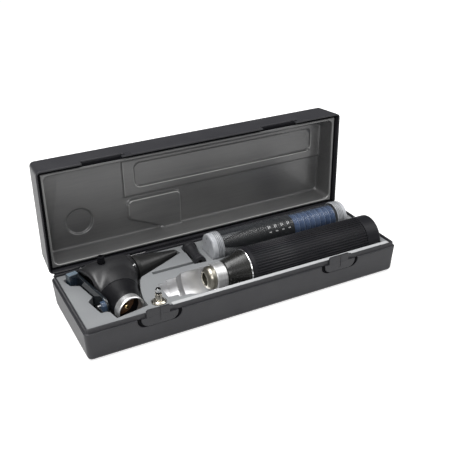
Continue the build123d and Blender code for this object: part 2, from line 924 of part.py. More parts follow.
def cell(start):
    """One C-size cell with its contact nub towards the head."""
    end = start + cell_length
    shoulder = cell_radius - cell_edge
    return placed_handle(turned([
        (start - cell_nub_height, 0), (start - cell_nub_height, cell_nub_radius),
        (start, cell_nub_radius), (start, shoulder), (start + cell_edge, cell_radius),
        (end - cell_edge, cell_radius), (end, shoulder), (end, 0)]))


def rear_cell_start():
    return cell_start + cell_length + cell_nub_height


def cap_spring():
    """The dished contact spring in the end cap."""
    seat = cap_end - cap_end_wall - slider_play
    crown = rear_cell_start() + cell_length + 2 * slider_play
    return placed_handle(turned([
        (seat - spring_sheet, spring_foot_radius), (crown, spring_crown_radius), (crown, 0),
        (crown + spring_sheet, 0), (crown + spring_sheet, spring_crown_radius),
        (seat, spring_foot_radius + spring_sheet), (seat, spring_rim_radius),
        (seat - spring_sheet, spring_rim_radius)]))


def handle_end_cap():
    """The screw cap that closes the battery sleeve, with a rounded outer edge."""
    skirt = cell_bore + spigot_wall + fit_play
    shelf = sleeve_end + spigot_length + ring_play
    body = turned([
        (cap_start, skirt), (cap_start + edge_break, cap_radius), (cap_end, cap_radius), (cap_end, 0),
        (cap_end - cap_end_wall, 0), (cap_end - cap_end_wall, cell_bore), (shelf, cell_bore),
        (shelf, skirt)])
    rim = body.edges().filter_by(GeomType.CIRCLE).sort_by(Axis.X)[-1]
    return placed_handle(fillet(rim, cap_rounding))


# ---- otoscope head: drawn with u along the optical axis, v against the neck, w up ----------------
def section_plane(origin, normal, across):
    return Plane(origin=origin, x_dir=across, z_dir=normal)


def barrel():
    """The optical housing, lofted through rounded sections along the optical axis."""
    faces = [
        section_plane((u, v, 0), (1, 0, 0), (0, 1, 0)) * Ellipse(half_v, half_w)
        for u, v, half_v, half_w in barrel_sections
    ]
    return loft(faces)


def flare():
    """The fan-shaped neck, lofted from the barrel down to the round socket."""
    faces = []
    for v, front, half_w in flare_sections:
        half_u = (front - back_plane + 0.1) / 2
        middle = (back_plane - 0.1 + half_u, v, 0)
        faces.append(section_plane(middle, (0, -1, 0), (1, 0, 0)) * Ellipse(half_u, half_w))
    return loft(faces)


def neck_bar(v0, v1, radius):
    """A round bar on the neck's axis."""
    return Pos(neck_u, (v0 + v1) / 2, 0) * Rot(90, 0, 0) * Cylinder(radius, abs(v1 - v0))


def neck_turned(profile):
    """A profile of (v, radius) points turned about the neck's axis."""
    outline = make_face(Polyline(*[(r, v, 0) for v, r in profile], close=True))
    return Pos(neck_u, 0, 0) * revolve(outline, axis=Axis.Y)


def socket_well():
    """The radius of the well that holds the insulator and the rear of the neck ring."""
    return neck_radius + socket_play


def optic_tip():
    """The radius of the optical channel at the spigot's mouth."""
    return optic_radius - optic_taper


def head_cuts():
    """The hollow inside the head: sight window, optical channel, lamp well and socket well."""
    wide = window_width / 2
    high = window_height / 2
    inner = back_plane + window_depth
    window = block(back_plane - through, inner, -wide, wide, -high, high)
    window = fillet(window.edges().filter_by(Axis.X), window_corner)
    channel = turned([
        (inner - slider_play, 0), (inner - slider_play, optic_radius + through),
        (spigot_end + through, optic_tip()), (spigot_end + through, 0)])
    floor = neck_end + socket_depth
    well = neck_bar(floor - socket_floor, lamp_well_end, lamp_bore)
    socket = neck_bar(neck_end - through, floor, socket_well())
    return [window, channel, well, socket]


def head_nose():
    """The nose and the spigot that carries the speculum."""
    tip = spigot_radius - edge_break
    return turned([
        (nose_root, 0), (nose_root, nose_radius), (barrel_sections[-1][0], nose_radius),
        (nose_end, nose_tip_radius), (nose_end, spigot_radius), (spigot_end - edge_break, spigot_radius),
        (spigot_end, tip), (spigot_end, 0)])


def head_fittings():
    """The holes for the port, its air way, the front screw and the lens pivot."""
    top = port_top + through
    hole = Pos(port_u, port_v, (port_seat + top) / 2) * Cylinder(port_radius + fit_play, top - port_seat)
    air_way = Pos(port_u, port_v, port_seat / 2) * Cylinder(port_bore, port_seat + 2 * through)
    screw_hole = Pos(barrel_sections[-1][0], screw_v, screw_w) * Rot(0, 90, 0) * Cylinder(
        screw_shank + fit_play, 2 * (screw_depth + fit_play))
    return [hole, air_way, screw_hole, lens_pivot_bar(pivot_radius + fit_play, 2 * slider_play)]


def head_body():
    """The barrel and flare with the nose, hollowed and drilled."""
    body = barrel() + flare() + head_nose()
    for cut in head_cuts() + head_fittings():
        body = body - cut
    return body


def lens_pivot_bar(radius, extra):
    """The straight part of the lens pivot, along the optical direction."""
    start = lens_back() - lug_thickness + pivot_inset
    end = back_plane + pivot_depth + extra
    return Pos((start + end) / 2, lens_pivot_v, 0) * Rot(0, 90, 0) * Cylinder(radius, end - start)


def lens_back():
    """The outer face of the lens plate."""
    return back_plane - lens_gap - lens_thickness


def beyond_seam(side):
    """All space on one side of the seam between the barrel housing and the neck housing."""
    reach = case_length
    low, high = sorted((seam_v, seam_v + side * reach))
    return block(-reach, reach, low, high, -reach, reach)


def head_housing():
    return head_pose() * (head_body() & beyond_seam(1))


def neck_housing():
    return head_pose() * (head_body() & beyond_seam(-1))


def neck_ring():
    """The plated ring round the head's socket, with a bevelled mouth."""
    bore = socket_well()
    outer = bore + socket_wall
    mouth = 2 * edge_break
    return head_pose() * neck_turned([
        (neck_end, bore), (neck_end, outer - edge_break), (neck_end - mouth, outer),
        (socket_face + mouth, outer), (socket_face, outer - mouth), (socket_face, bore + mouth),
        (socket_face + mouth, bore)])


def socket_insulator():
    """The brown insulating disc at the bottom of the socket, with a raised collar."""
    floor = neck_end + socket_depth - socket_floor
    top = neck_end + socket_depth - seat_gap
    radius = socket_well() - fit_play
    bore = contact_radius + fit_play
    collar = floor + socket_collar_rise
    inner = radius - socket_collar_inset
    return head_pose() * neck_turned([
        (floor, bore), (floor, inner), (collar, inner + socket_collar_rise / 2), (collar, radius),
        (top, radius), (top, bore)])


def socket_contact():
    """The brass contact on the socket's axis."""
    end = neck_end + socket_depth
    tip = end - socket_floor - socket_contact_rise
    tip_round = contact_radius / 3
    return head_pose() * neck_turned([
        (tip, 0), (tip, contact_radius - tip_round), (tip + tip_round, contact_radius),
        (end, contact_radius), (end, 0)])


def flange_profile(foot):
    """The turned outline shared by both lamps: flange and metal body, from the foot upwards."""
    shoulder = foot + lamp_flange_height
    return [
        (foot, lamp_flange_radius - edge_break), (foot + edge_break, lamp_flange_radius),
        (foot + lamp_flange_height * lamp_flange_rim, lamp_flange_radius),
        (shoulder, lamp_flange_radius - lamp_flange_edge), (shoulder, lamp_body_radius),
        (shoulder + lamp_body_height, lamp_body_radius)]


def bulb_profile(foot):
    """The turned outline of a lamp's domed glass, from its foot upwards."""
    end = foot + lamp_glass_height
    return [
        (foot, lamp_glass_radius), (end - lamp_dome, lamp_glass_radius),
        (end - lamp_dome / 3, lamp_glass_radius * 0.75), (end, lamp_glass_radius / 3), (end, 0)]


def head_lamp():
    """The lamp in the head, standing on the contact and shining towards the speculum."""
    foot = neck_end + socket_depth + seat_gap
    glass = foot + lamp_flange_height + lamp_body_height
    return head_pose() * neck_turned([(foot, 0), *flange_profile(foot), *bulb_profile(glass)])


def insufflation_port():
    """The small hollow nipple for the pneumatic bulb."""
    height = port_top - port_seat
    waist = port_radius - port_barb
    outline = make_face(Polyline(
        (port_bore, 0, 0), (port_radius, 0, 0), (port_radius, height - port_head, 0),
        (waist, height - port_head + port_barb, 0), (port_radius, height - 2 * port_barb, 0),
        (waist, height, 0), (port_bore, height, 0), close=True))
    upright = revolve(Plane.XZ * outline, axis=Axis.Z)
    return head_pose() * Pos(port_u, port_v, port_seat) * upright


def front_screw():
    """The small screw in the housing's front shoulder."""
    rim = screw_radius - 2 * slider_play
    shank = turned([
        (-screw_depth, 0), (-screw_depth, screw_shank), (0, screw_shank), (0, screw_radius),
        (screw_height - 2 * slider_play, screw_radius), (screw_height, rim), (screw_height, 0)])
    return head_pose() * Pos(barrel_sections[-1][0], screw_v, screw_w) * shank


def swivel_lens():
    """The tinted lens moulding: a thin plate with a thick lug at each end."""
    side = section_plane((lens_back(), 0, 0), (1, 0, 0), (0, 1, 0))
    middle = (lens_pivot_v + lens_end_v) / 2
    bar = Pos(middle, 0) * Rectangle(lens_end_v - lens_pivot_v, 2 * lens_half_height)
    bar = fillet(bar.vertices().sort_by(Axis.X)[-2:], lens_corner)
    outline = bar + Pos(lens_pivot_v, 0) * Circle(lens_half_height)
    plate = extrude(side * outline, amount=lens_thickness)
    thick = extrude(side * outline, amount=-lug_thickness)
    between = block(-case_length, case_length, lens_pivot_v + front_lug_length,
                    lens_end_v - rear_lug_length, -case_length, case_length)
    return head_pose() * (plate + (thick - between) - lens_pivot_bar(pivot_radius + fit_play, 0))


def lens_pivot():
    return head_pose() * lens_pivot_bar(pivot_radius, 0)


def head_speculum():
    """The black cone on the head's nose."""
    start = nose_end + speculum_gap
    cone = start + speculum_rim_length
    bore = spigot_radius + speculum_play
    seat = spigot_end + seat_gap
    return head_pose() * turned([
        (start, bore), (start, speculum_rim_radius), (cone, speculum_rim_radius),
        (cone, speculum_cone_radius), (speculum_end, speculum_tip_radius),
        (speculum_end, speculum_tip_radius - speculum_wall), (seat, spigot_radius - edge_break),
        (seat, bore)])


# ---- specula tube -------------------------------------------------------------------------------
def placed_tube(shape):
    """Put a shape drawn about the X axis on the specula tube's axis."""
    return Pos(0, tube_y, tube_z) * shape


def tube_barrel():
    return placed_tube(ring(tube_start, tube_end, tube_radius, tube_radius - tube_wall))


def tube_cap():
    """A push-on end cap, mouth towards +X, with fine rings near its mouth."""
    bore = tube_radius + fit_play
    end = tube_cap_length
    shoulder = tube_cap_radius - tube_cap_bevel
    floor = tube_cap_end - seat_gap / 2
    body = turned([
        (0, 0), (0, shoulder), (tube_cap_bevel, tube_cap_radius), (end, tube_cap_radius),
        (end, bore), (floor, bore), (floor, 0)])
    last = end - tube_cap_rib_edge
    rings = [
        ring(last - n * tube_cap_rib_pitch - tube_cap_rib_width, last - n * tube_cap_rib_pitch,
             tube_cap_radius + tube_cap_rib, bore)
        for n in range(tube_cap_ribs)
    ]
    return joined([body, *rings])


def tube_cap_left():
    return placed_tube(Pos(tube_start - tube_cap_end, 0, 0) * tube_cap())


def tube_cap_right():
    return placed_tube(Pos(tube_end + tube_cap_end, 0, 0) * Rot(0, 0, 180) * tube_cap())


def stored_speculum(rim_x):
    """One stored speculum, rim at a given place and tip towards -X."""
    rim_radius = tube_radius - tube_wall - seat_gap
    collar = rim_x - stored_rim_length
    tip = rim_x - stored_length
    inner = stored_cone_radius - stored_wall
    return placed_tube(turned([
        (rim_x, rim_radius), (collar, rim_radius), (collar, stored_cone_radius),
        (tip, stored_tip_radius), (tip, stored_tip_radius - stored_wall), (collar, inner),
        (rim_x, inner + stored_rim_lip)]))


def black_rim(n):
    """The place of the rim of one black speculum along the tube."""
    return tube_start + black_lead + n * black_pitch


def specula_black():
    return [stored_speculum(black_rim(n)) for n in range(black_count)]


def specula_blue():
    last_black = black_rim(black_count - 1)
    pitch = (tube_end - blue_tail - last_black) / blue_count
    return [stored_speculum(last_black + (n + 1) * pitch) for n in range(blue_count)]


# ---- spares -------------------------------------------------------------------------------------
def upright_turned(profile, x, y, z):
    """A profile of (height, radius) points turned about an upright axis."""
    outline = make_face(Polyline(*[(r, h, 0) for h, r in profile], close=True))
    return Pos(x, y, z) * revolve(Plane.XZ * outline, axis=Axis.Z)


def lamp_foot():
    """The level of the spare lamp's flange in its recess."""
    return tray_level - lamp_sink


def spare_lamp_base():
    """The spare lamp's metal base: spigot, flange and body."""
    return upright_turned([
        (-lamp_spigot_length, 0), (-lamp_spigot_length, lamp_spigot_radius - edge_break),
        (edge_break - lamp_spigot_length, lamp_spigot_radius), (0, lamp_spigot_radius),
        *flange_profile(0), (lamp_flange_height + lamp_body_height, 0)], lamp_x, lamp_y, lamp_foot())


def spare_lamp_glass():
    """The spare lamp's domed glass."""
    start = lamp_flange_height + lamp_body_height
    return upright_turned([(start, 0), *bulb_profile(start)], lamp_x, lamp_y, lamp_foot())


def spare_adapter():
    """The small black tube adapter: front collar, waist, and a stepped flare at the rear."""
    half = adapter_length / 2
    shoulder = half - adapter_flare
    rim = shoulder + adapter_neck
    step = adapter_rear_radius - adapter_lip
    return adapter_pose() * turned([
        (-half, adapter_bore), (-half, adapter_front_radius),
        (adapter_collar - half, adapter_front_radius),
        (adapter_collar + adapter_neck - half, adapter_waist_radius), (0, adapter_waist_radius),
        (shoulder, step), (rim, step), (rim, adapter_rear_radius),
        (half - adapter_neck, adapter_rear_radius), (half - adapter_neck, step),
        (half - adapter_step, step), (half, step - adapter_lip), (half, adapter_bore)])


# ---- nodes --------------------------------------------------------------------------------------
save("base_shell", base_shell())
save("base_tray", base_tray())
save("hinge_pins", hinge_pins())
save("lid_shell", lid_shell())
save("lid_liner", lid_liner())
save("latch_keepers", latch_keepers())
save("latch_left", latch(latch_places()[0]))
save("latch_right", latch(latch_places()[1]))
save("handle_neck", handle_neck())
save("contact_insulator", contact_insulator())
save("contact_pin", contact_pin())
save("control_ring", control_ring())
save("handle_cone", handle_cone())
save("chrome_ring", chrome_ring())
save("handle_sleeve", handle_sleeve())
save("battery_front", cell(cell_start))
save("battery_rear", cell(rear_cell_start()))
save("cap_spring", cap_spring())
save("handle_end_cap", handle_end_cap())
save("head_housing", head_housing())
save("neck_housing", neck_housing())
save("neck_ring", neck_ring())
save("socket_insulator", socket_insulator())
save("socket_contact", socket_contact())
save("head_lamp", head_lamp())
save("insufflation_port", insufflation_port())
save("front_screw", front_screw())
save("swivel_lens", swivel_lens())
save("lens_pivot", lens_pivot())
save("head_speculum", head_speculum())
save("tube_barrel", tube_barrel())
save("tube_cap_left", tube_cap_left())
save("tube_cap_right", tube_cap_right())
save("specula_black", specula_black())
save("specula_blue", specula_blue())
save("spare_lamp_base", spare_lamp_base())
save("spare_lamp_glass", spare_lamp_glass())
save("spare_adapter", spare_adapter())
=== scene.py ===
import bpy
import bmesh
import json
from math import cos, hypot, pi, radians, sin, sqrt
from mathutils import Matrix, Vector


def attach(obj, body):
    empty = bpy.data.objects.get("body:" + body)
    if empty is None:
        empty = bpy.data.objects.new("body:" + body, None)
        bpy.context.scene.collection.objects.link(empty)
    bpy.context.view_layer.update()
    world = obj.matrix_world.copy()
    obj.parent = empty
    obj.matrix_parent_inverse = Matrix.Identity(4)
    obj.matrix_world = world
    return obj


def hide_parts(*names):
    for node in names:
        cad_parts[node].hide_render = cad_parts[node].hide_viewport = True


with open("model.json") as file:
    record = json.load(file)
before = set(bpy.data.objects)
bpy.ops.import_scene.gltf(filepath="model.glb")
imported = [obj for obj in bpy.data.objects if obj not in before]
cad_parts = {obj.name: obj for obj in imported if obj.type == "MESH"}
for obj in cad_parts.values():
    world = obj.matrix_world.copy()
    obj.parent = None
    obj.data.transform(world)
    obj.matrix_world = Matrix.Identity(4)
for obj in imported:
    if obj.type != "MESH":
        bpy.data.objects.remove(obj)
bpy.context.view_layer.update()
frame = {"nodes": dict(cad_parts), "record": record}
nodes = frame["nodes"]
body_of = {node: body for body, held in frame["record"]["behaviour"]["bodies"].items() for node in held}
MM = 0.001

# Where the head, the handle and the tube lie in the tray, in metres.
HEAD_ORIGIN = (-0.0998, 0.01325, 0.0215)
HEAD_TURN, HEAD_ROLL = radians(11.0), radians(1.5)
HEAD_PLACE = (Matrix.Translation(HEAD_ORIGIN) @ Matrix.Rotation(HEAD_TURN, 4, "Z")
              @ Matrix.Rotation(HEAD_ROLL, 4, "X"))
HANDLE_Y, HANDLE_Z = -0.0148, 0.0212
HANDLE_AXIS = Matrix.Translation((0.0, HANDLE_Y, HANDLE_Z))
TUBE_AXIS = Matrix.Translation((0.0, 0.0144, 0.0260))


def add_object(name, data):
    """A new object in the scene, at the origin."""
    made = bpy.data.objects.new(name, data)
    bpy.context.scene.collection.objects.link(made)
    return made


# ---- camera ---------------------------------------------------------------------------------------
# The turn is yaw, pitch and roll in degrees; the focal length and the frame's width are in pixels.
CAMERA_PLACE = (-0.1989, -0.3905, 0.2750)
CAMERA_TURN = (26.561, 27.142, -1.039)
CAMERA_SHIFT = (0.01216, -0.01459)
FOCAL_LENGTH, FRAME_WIDTH = 736.56, 458
SENSOR_WIDTH = 36.0


def make_camera():
    """The camera that looks down into the open case from its front left."""
    yaw, pitch, roll = (radians(angle) for angle in CAMERA_TURN)
    forward = Vector((sin(yaw) * cos(pitch), cos(yaw) * cos(pitch), -sin(pitch)))
    level = Vector((cos(yaw), -sin(yaw), 0.0))
    up = level.cross(forward)
    right = level * cos(roll) + up * sin(roll)
    top = up * cos(roll) - level * sin(roll)
    data = bpy.data.cameras.new("case_camera")
    data.sensor_width = SENSOR_WIDTH
    data.lens = FOCAL_LENGTH / FRAME_WIDTH * SENSOR_WIDTH
    data.shift_x, data.shift_y = CAMERA_SHIFT
    data.clip_start, data.clip_end = 0.02, 20.0
    camera = add_object("case_camera", data)
    turn = Matrix((right, top, -forward)).transposed()
    camera.matrix_world = Matrix.Translation(CAMERA_PLACE) @ turn.to_4x4()
    bpy.context.scene.camera = camera


# ---- material helpers -----------------------------------------------------------------------------
def grown(tree, kind, joins, **values):
    """A node with its inputs set from numbers or joined to sockets."""
    made = tree.nodes.new(kind)
    for key, value in values.items():
        setattr(made, key, value)
    for label, source in joins.items():
        if isinstance(source, bpy.types.NodeSocket):
            tree.links.new(source, made.inputs[label])
        else:
            made.inputs[label].default_value = source
    return made


class Finish:
    """A procedural material on Object coordinates, built one node at a time."""

    def __init__(self, name):
        self.material = bpy.data.materials.new(name)
        self.material.use_nodes = True
        self.tree = self.material.node_tree
        self.shader = self.tree.nodes["Principled BSDF"]
        self.place = self.tree.nodes.new("ShaderNodeTexCoord").outputs["Object"]

    def node(self, kind, **values):
        made = self.tree.nodes.new(kind)
        for key, value in values.items():
            setattr(made, key, value)
        return made

    def link(self, source, target):
        self.tree.links.new(source, target)

    def mapped(self, scale):
        """The place on the piece, stretched along its axes."""
        mapping = self.node("ShaderNodeMapping")
        mapping.inputs["Scale"].default_value = scale
        self.link(self.place, mapping.inputs["Vector"])
        return mapping.outputs["Vector"]

    def noise(self, size, detail=2.0, place=None):
        """Noise with features of a size in millimetres."""
        made = self.node("ShaderNodeTexNoise")
        made.inputs["Scale"].default_value = 1.0 / (size * MM)
        made.inputs["Detail"].default_value = detail
        self.link(place or self.place, made.inputs["Vector"])
        return made.outputs["Fac"]

    def spread(self, value, low, high, out_low, out_high):
        """A value mapped from one range to another."""
        made = self.node("ShaderNodeMapRange")
        ends = {"From Min": low, "From Max": high, "To Min": out_low, "To Max": out_high}
        for key, number in ends.items():
            made.inputs[key].default_value = number
        self.link(value, made.inputs["Value"])
        return made.outputs["Result"]

    def ramp(self, value, *stops):
        """A colour ramp with (position, colour) stops."""
        made = self.node("ShaderNodeValToRGB")
        bar = made.color_ramp
        while len(bar.elements) < len(stops):
            bar.elements.new(0.5)
        for element, (position, colour) in zip(bar.elements, stops):
            element.position = position
            element.color = (*colour, 1.0)
        self.link(value, made.inputs["Fac"])
        return made.outputs["Color"]

    def mixed(self, factor, first, second):
        """Two colours mixed by a factor; each may be a socket or a colour."""
        made = self.node("ShaderNodeMix", data_type="RGBA")
        self.link(factor, made.inputs[0])
        for slot, value in ((6, first), (7, second)):
            if isinstance(value, tuple):
                made.inputs[slot].default_value = (*value, 1.0)
            else:
                self.link(value, made.inputs[slot])
        return made.outputs[2]

    def blended(self, factor, first, second):
        """Two numbers mixed by a factor; each may be a socket or a number."""
        made = self.node("ShaderNodeMix", data_type="FLOAT")
        self.link(factor, made.inputs[0])
        for slot, value in ((2, first), (3, second)):
            if isinstance(value, float):
                made.inputs[slot].default_value = value
            else:
                self.link(value, made.inputs[slot])
        return made.outputs[0]

    def math(self, operation, first, second=0.0):
        """One sum on two values; each may be a socket or a number."""
        made = self.node("ShaderNodeMath", operation=operation)
        for slot, value in enumerate((first, second)):
            if isinstance(value, (int, float)):
                made.inputs[slot].default_value = value
            else:
                self.link(value, made.inputs[slot])
        return made.outputs[0]

    def axes(self):
        """The X, Y and Z of the place, in metres."""
        made = self.node("ShaderNodeSeparateXYZ")
        self.link(self.place, made.inputs[0])
        return made.outputs

    def bump(self, height, strength, depth):
        """Fine relief, its depth in millimetres."""
        made = self.node("ShaderNodeBump")
        made.inputs["Strength"].default_value = strength
        made.inputs["Distance"].default_value = depth * MM
        self.link(height, made.inputs["Height"])
        self.link(made.outputs["Normal"], self.shader.inputs["Normal"])

    def thinned(self, blend, squarely, edge):
        """More open where the wall is looked at squarely, and denser at its edges."""
        graze = self.node("ShaderNodeLayerWeight")
        graze.inputs["Blend"].default_value = blend
        share = self.spread(graze.outputs["Facing"], 0.1, 0.9, squarely, edge)
        self.link(share, self.shader.inputs["Alpha"])

    def set(self, **values):
        """Plain numbers on the shader's own sockets."""
        names = {"metal": "Metallic", "ior": "IOR", "clear": "Transmission Weight",
                 "coat": "Coat Weight", "coat_rough": "Coat Roughness", "gloss": "Specular IOR Level"}
        for key, value in values.items():
            self.shader.inputs[names[key]].default_value = value
        return self

    def colour(self, source):
        self.link(source, self.shader.inputs["Base Color"])
        return self

    def roughness(self, source):
        self.link(source, self.shader.inputs["Roughness"])
        return self


# ---- finishes -------------------------------------------------------------------------------------
def grained(name, dark, light, rough, grain, depth, **values):
    """A moulded plastic: slow mottling of tone, fine grain in the surface and in its gloss."""
    made = Finish(name)
    slow = made.noise(18.0, 3.0)
    made.colour(made.ramp(slow, (0.3, dark), (0.7, light)))
    fine = made.noise(grain, 2.0)
    made.roughness(made.spread(fine, 0.3, 0.7, rough - 0.05, rough + 0.05))
    made.bump(fine, 0.25, depth)
    return made.set(**values)


def turned_metal(name, dark, light, rough, axis_scale, depth):
    """A metal with fine lathe marks: noise squeezed along one axis."""
    made = Finish(name)
    lines = made.noise(1.0, 3.0, made.mapped(axis_scale))
    made.colour(made.ramp(lines, (0.3, dark), (0.7, light)))
    made.roughness(made.spread(lines, 0.3, 0.7, rough - 0.04, rough + 0.06))
    made.bump(lines, 0.2, depth)
    return made.set(metal=1.0)


def clear_plastic(name, tint, rough):
    """A clear moulding with faint flow marks."""
    made = Finish(name)
    flow = made.noise(6.0, 2.0)
    pale = tuple(min(1.0, c * 1.06) for c in tint)
    made.colour(made.ramp(flow, (0.3, tint), (0.7, pale)))
    made.roughness(made.spread(flow, 0.3, 0.7, rough * 0.7, rough * 1.3))
    return made.set(clear=1.0, ior=1.49)


def make_tube_finish():
    """A thin clear wall, mostly open where it is looked at squarely."""
    made = clear_plastic("tube_clear", (0.035, 0.038, 0.042), 0.24)
    made.thinned(0.35, 0.16, 0.7)
    return made.set(clear=0.0, ior=1.5, coat=0.5, coat_rough=0.2)


def make_tray_finish():
    """Matt grey formed sheet: silver in the stepped trough, paler before it, and painted paler under the
    tube to lift the tube's shadow.
    """
    trough_left, trough_half_width = -0.0560, 0.01485
    trough_edge, trough_wall = 0.02125, 0.02105
    strip_rear = -0.0297
    bed_front, bed_left, bed_full = 0.0035, 0.0, 0.004
    bed_edge, bed_wall = 0.0210, 0.0206
    made = Finish("tray_matt_grey")
    x, y, z = made.axes()
    below = made.spread(z, trough_edge, trough_wall, 0.0, 1.0)
    across = made.math("ABSOLUTE", made.math("ADD", y, -HANDLE_Y))
    inside = made.math("LESS_THAN", across, trough_half_width)
    ahead = made.math("GREATER_THAN", x, trough_left)
    silver = made.math("MULTIPLY", made.math("MULTIPLY", below, inside), ahead)
    slow = made.noise(30.0, 2.0)
    grey = made.ramp(slow, (0.3, (0.150, 0.156, 0.162)), (0.7, (0.168, 0.174, 0.178)))
    strip = made.math("MULTIPLY", made.math("LESS_THAN", y, strip_rear), ahead)
    grey = made.mixed(strip, grey, (0.34, 0.345, 0.35))
    # Painted light: the tray under the tube is made paler to lift the shadow that the tube casts there.
    rightwards = made.spread(x, bed_left, bed_full, 0.0, 1.0)
    painted_light_under_tube = made.math("MULTIPLY", made.math("GREATER_THAN", y, bed_front), rightwards)
    painted_light_under_tube = made.math("MULTIPLY", painted_light_under_tube, made.spread(z, bed_edge, bed_wall, 0.0, 1.0))
    grey = made.mixed(painted_light_under_tube, grey, (0.50, 0.51, 0.52))
    foil = made.ramp(made.noise(9.0, 2.0), (0.3, (0.56, 0.56, 0.57)), (0.7, (0.68, 0.68, 0.69)))
    made.colour(made.mixed(silver, grey, foil))
    fine = made.noise(0.5, 2.0)
    made.roughness(made.blended(silver, made.spread(fine, 0.3, 0.7, 0.55, 0.68), 0.3))
    made.link(made.math("MULTIPLY", silver, 0.8), made.shader.inputs["Metallic"])
    made.bump(fine, 0.2, 0.02)
    return made


def make_liner_finish():
    """Satin formed sheet: faint streaks along the case, soft clouding, a clear skin, painted highlights on
    its crests and painted shade in its hollows.
    """
    made = Finish("liner_satin_grey")
    streaks = made.noise(1.4, 3.0, made.mapped((0.06, 1.0, 1.0)))
    clouds = made.noise(45.0, 2.0)
    tone = made.math("ADD", made.math("MULTIPLY", streaks, 0.35), made.math("MULTIPLY", clouds, 0.65))
    skin = made.ramp(tone, (0.35, (0.056, 0.056, 0.057)), (0.65, (0.084, 0.084, 0.083)))
    # Painted highlight on crests that face up and painted shade in hollows, read from the vertices.
    painted_edge_light_and_shade = made.node("ShaderNodeAttribute", attribute_name="painted_edge_light_and_shade").outputs["Fac"]
    painted_crest_highlight = made.mixed(made.spread(painted_edge_light_and_shade, 0.15, 0.8, 0.0, 0.9), skin, (0.36, 0.36, 0.35))
    made.colour(made.mixed(made.spread(painted_edge_light_and_shade, -0.1, -1.0, 0.0, 0.6), painted_crest_highlight, (0.020, 0.020, 0.021)))
    made.roughness(made.spread(streaks, 0.3, 0.7, 0.36, 0.44))
    made.bump(streaks, 0.15, 0.03)
    return made.set(gloss=0.8, coat=0.55, coat_rough=0.22)


def head_axes(made):
    """A finish's place measured from the head's origin, turned with the head but not rolled."""
    turned = made.node("ShaderNodeMapping", vector_type="TEXTURE")
    turned.inputs["Location"].default_value = HEAD_ORIGIN
    turned.inputs["Rotation"].default_value = (0.0, 0.0, HEAD_TURN)
    made.link(made.place, turned.inputs["Vector"])
    parted = made.node("ShaderNodeSeparateXYZ")
    made.link(turned.outputs["Vector"], parted.inputs[0])
    return parted.outputs["X"], parted.outputs["Y"], parted.outputs["Z"]


def make_lens_finish():
    """Tinted lens moulding: a near-black plate between two steel-blue grips, with a highlight painted along
    their tops.
    """
    front_begin, front_full = -0.0262, -0.0266
    plate_face, below_plate = 0.00045, 0.0003
    rear_begin, rear_full = 0.0080, 0.0090
    painted_highlight_begin, painted_highlight_full = 0.0036, 0.0064
    made = Finish("lens_tinted")
    out, along, height = head_axes(made)
    front = made.math("MULTIPLY", made.spread(along, front_begin, front_full, 0.0, 1.0),
                      made.spread(out, plate_face, below_plate, 0.0, 1.0))
    rear = made.spread(along, rear_begin, rear_full, 0.0, 1.0)
    cloud = made.noise(3.0, 2.0)
    steel = made.ramp(cloud, (0.3, (0.034, 0.054, 0.092)), (0.7, (0.046, 0.070, 0.112)))
    teal = made.ramp(cloud, (0.3, (0.010, 0.020, 0.028)), (0.7, (0.017, 0.032, 0.042)))
    grips = made.mixed(rear, steel, teal)
    # Painted highlight: the grips grow paler towards their tops.
    pale = made.mixed(made.spread(height, painted_highlight_begin, painted_highlight_full, 0.0, 0.6), grips, (0.20, 0.25, 0.30))
    plate = made.ramp(cloud, (0.3, (0.006, 0.008, 0.010)), (0.7, (0.010, 0.013, 0.016)))
    made.colour(made.mixed(made.math("MAXIMUM", front, rear), plate, pale))
    made.roughness(made.spread(cloud, 0.3, 0.7, 0.10, 0.16))
    made.bump(made.noise(1.2, 2.0), 0.1, 0.01)
    return made.set(coat=0.6, coat_rough=0.05)


def make_cap_finish():
    """Milky end cap, clouded and softly glossy."""
    made = Finish("cap_milky")
    flow = made.noise(5.0, 2.0)
    made.colour(made.ramp(flow, (0.3, (0.33, 0.34, 0.36)), (0.7, (0.42, 0.43, 0.45))))
    made.roughness(made.spread(flow, 0.3, 0.7, 0.26, 0.36))
    made.bump(flow, 0.1, 0.02)
    made.thinned(0.4, 0.82, 0.97)
    return made.set(ior=1.45, coat=0.3, coat_rough=0.1)


def make_blue_specula_finish():
    """Translucent blue stack, with a highlight painted at each rim's edge and shade painted in the gap
    behind it.
    """
    first_rim, pitch = 0.0614, 4.4 * MM
    made = Finish("speculum_translucent_blue")
    x = made.axes()[0]
    turns = made.math("FRACT", made.math("MULTIPLY", made.math("SUBTRACT", x, first_rim), 1.0 / pitch))
    cloud = made.noise(6.0, 3.0)
    body = made.ramp(cloud, (0.3, (0.075, 0.125, 0.250)), (0.7, (0.110, 0.170, 0.310)))
    # Painted highlight at each rim's edge, then painted shade in the gap behind it.
    edge = made.mixed(made.spread(turns, 0.84, 0.95, 0.0, 0.8), body, (0.24, 0.32, 0.48))
    made.colour(made.mixed(made.spread(turns, 0.12, 0.40, 0.55, 0.0), edge, (0.022, 0.036, 0.080)))
    made.roughness(made.spread(cloud, 0.3, 0.7, 0.22, 0.34))
    made.bump(made.noise(0.8, 2.0), 0.1, 0.01)
    return made.set(clear=0.1, ior=1.3)


def make_ring_finish():
    """Fine-brushed control ring: lathe lines round it and a satin glow."""
    made = turned_metal("control_ring_brushed", (0.66, 0.66, 0.66), (0.82, 0.82, 0.82), 0.34,
                        (4.0, 0.02, 0.02), 0.012)
    return made.set(metal=0.92)


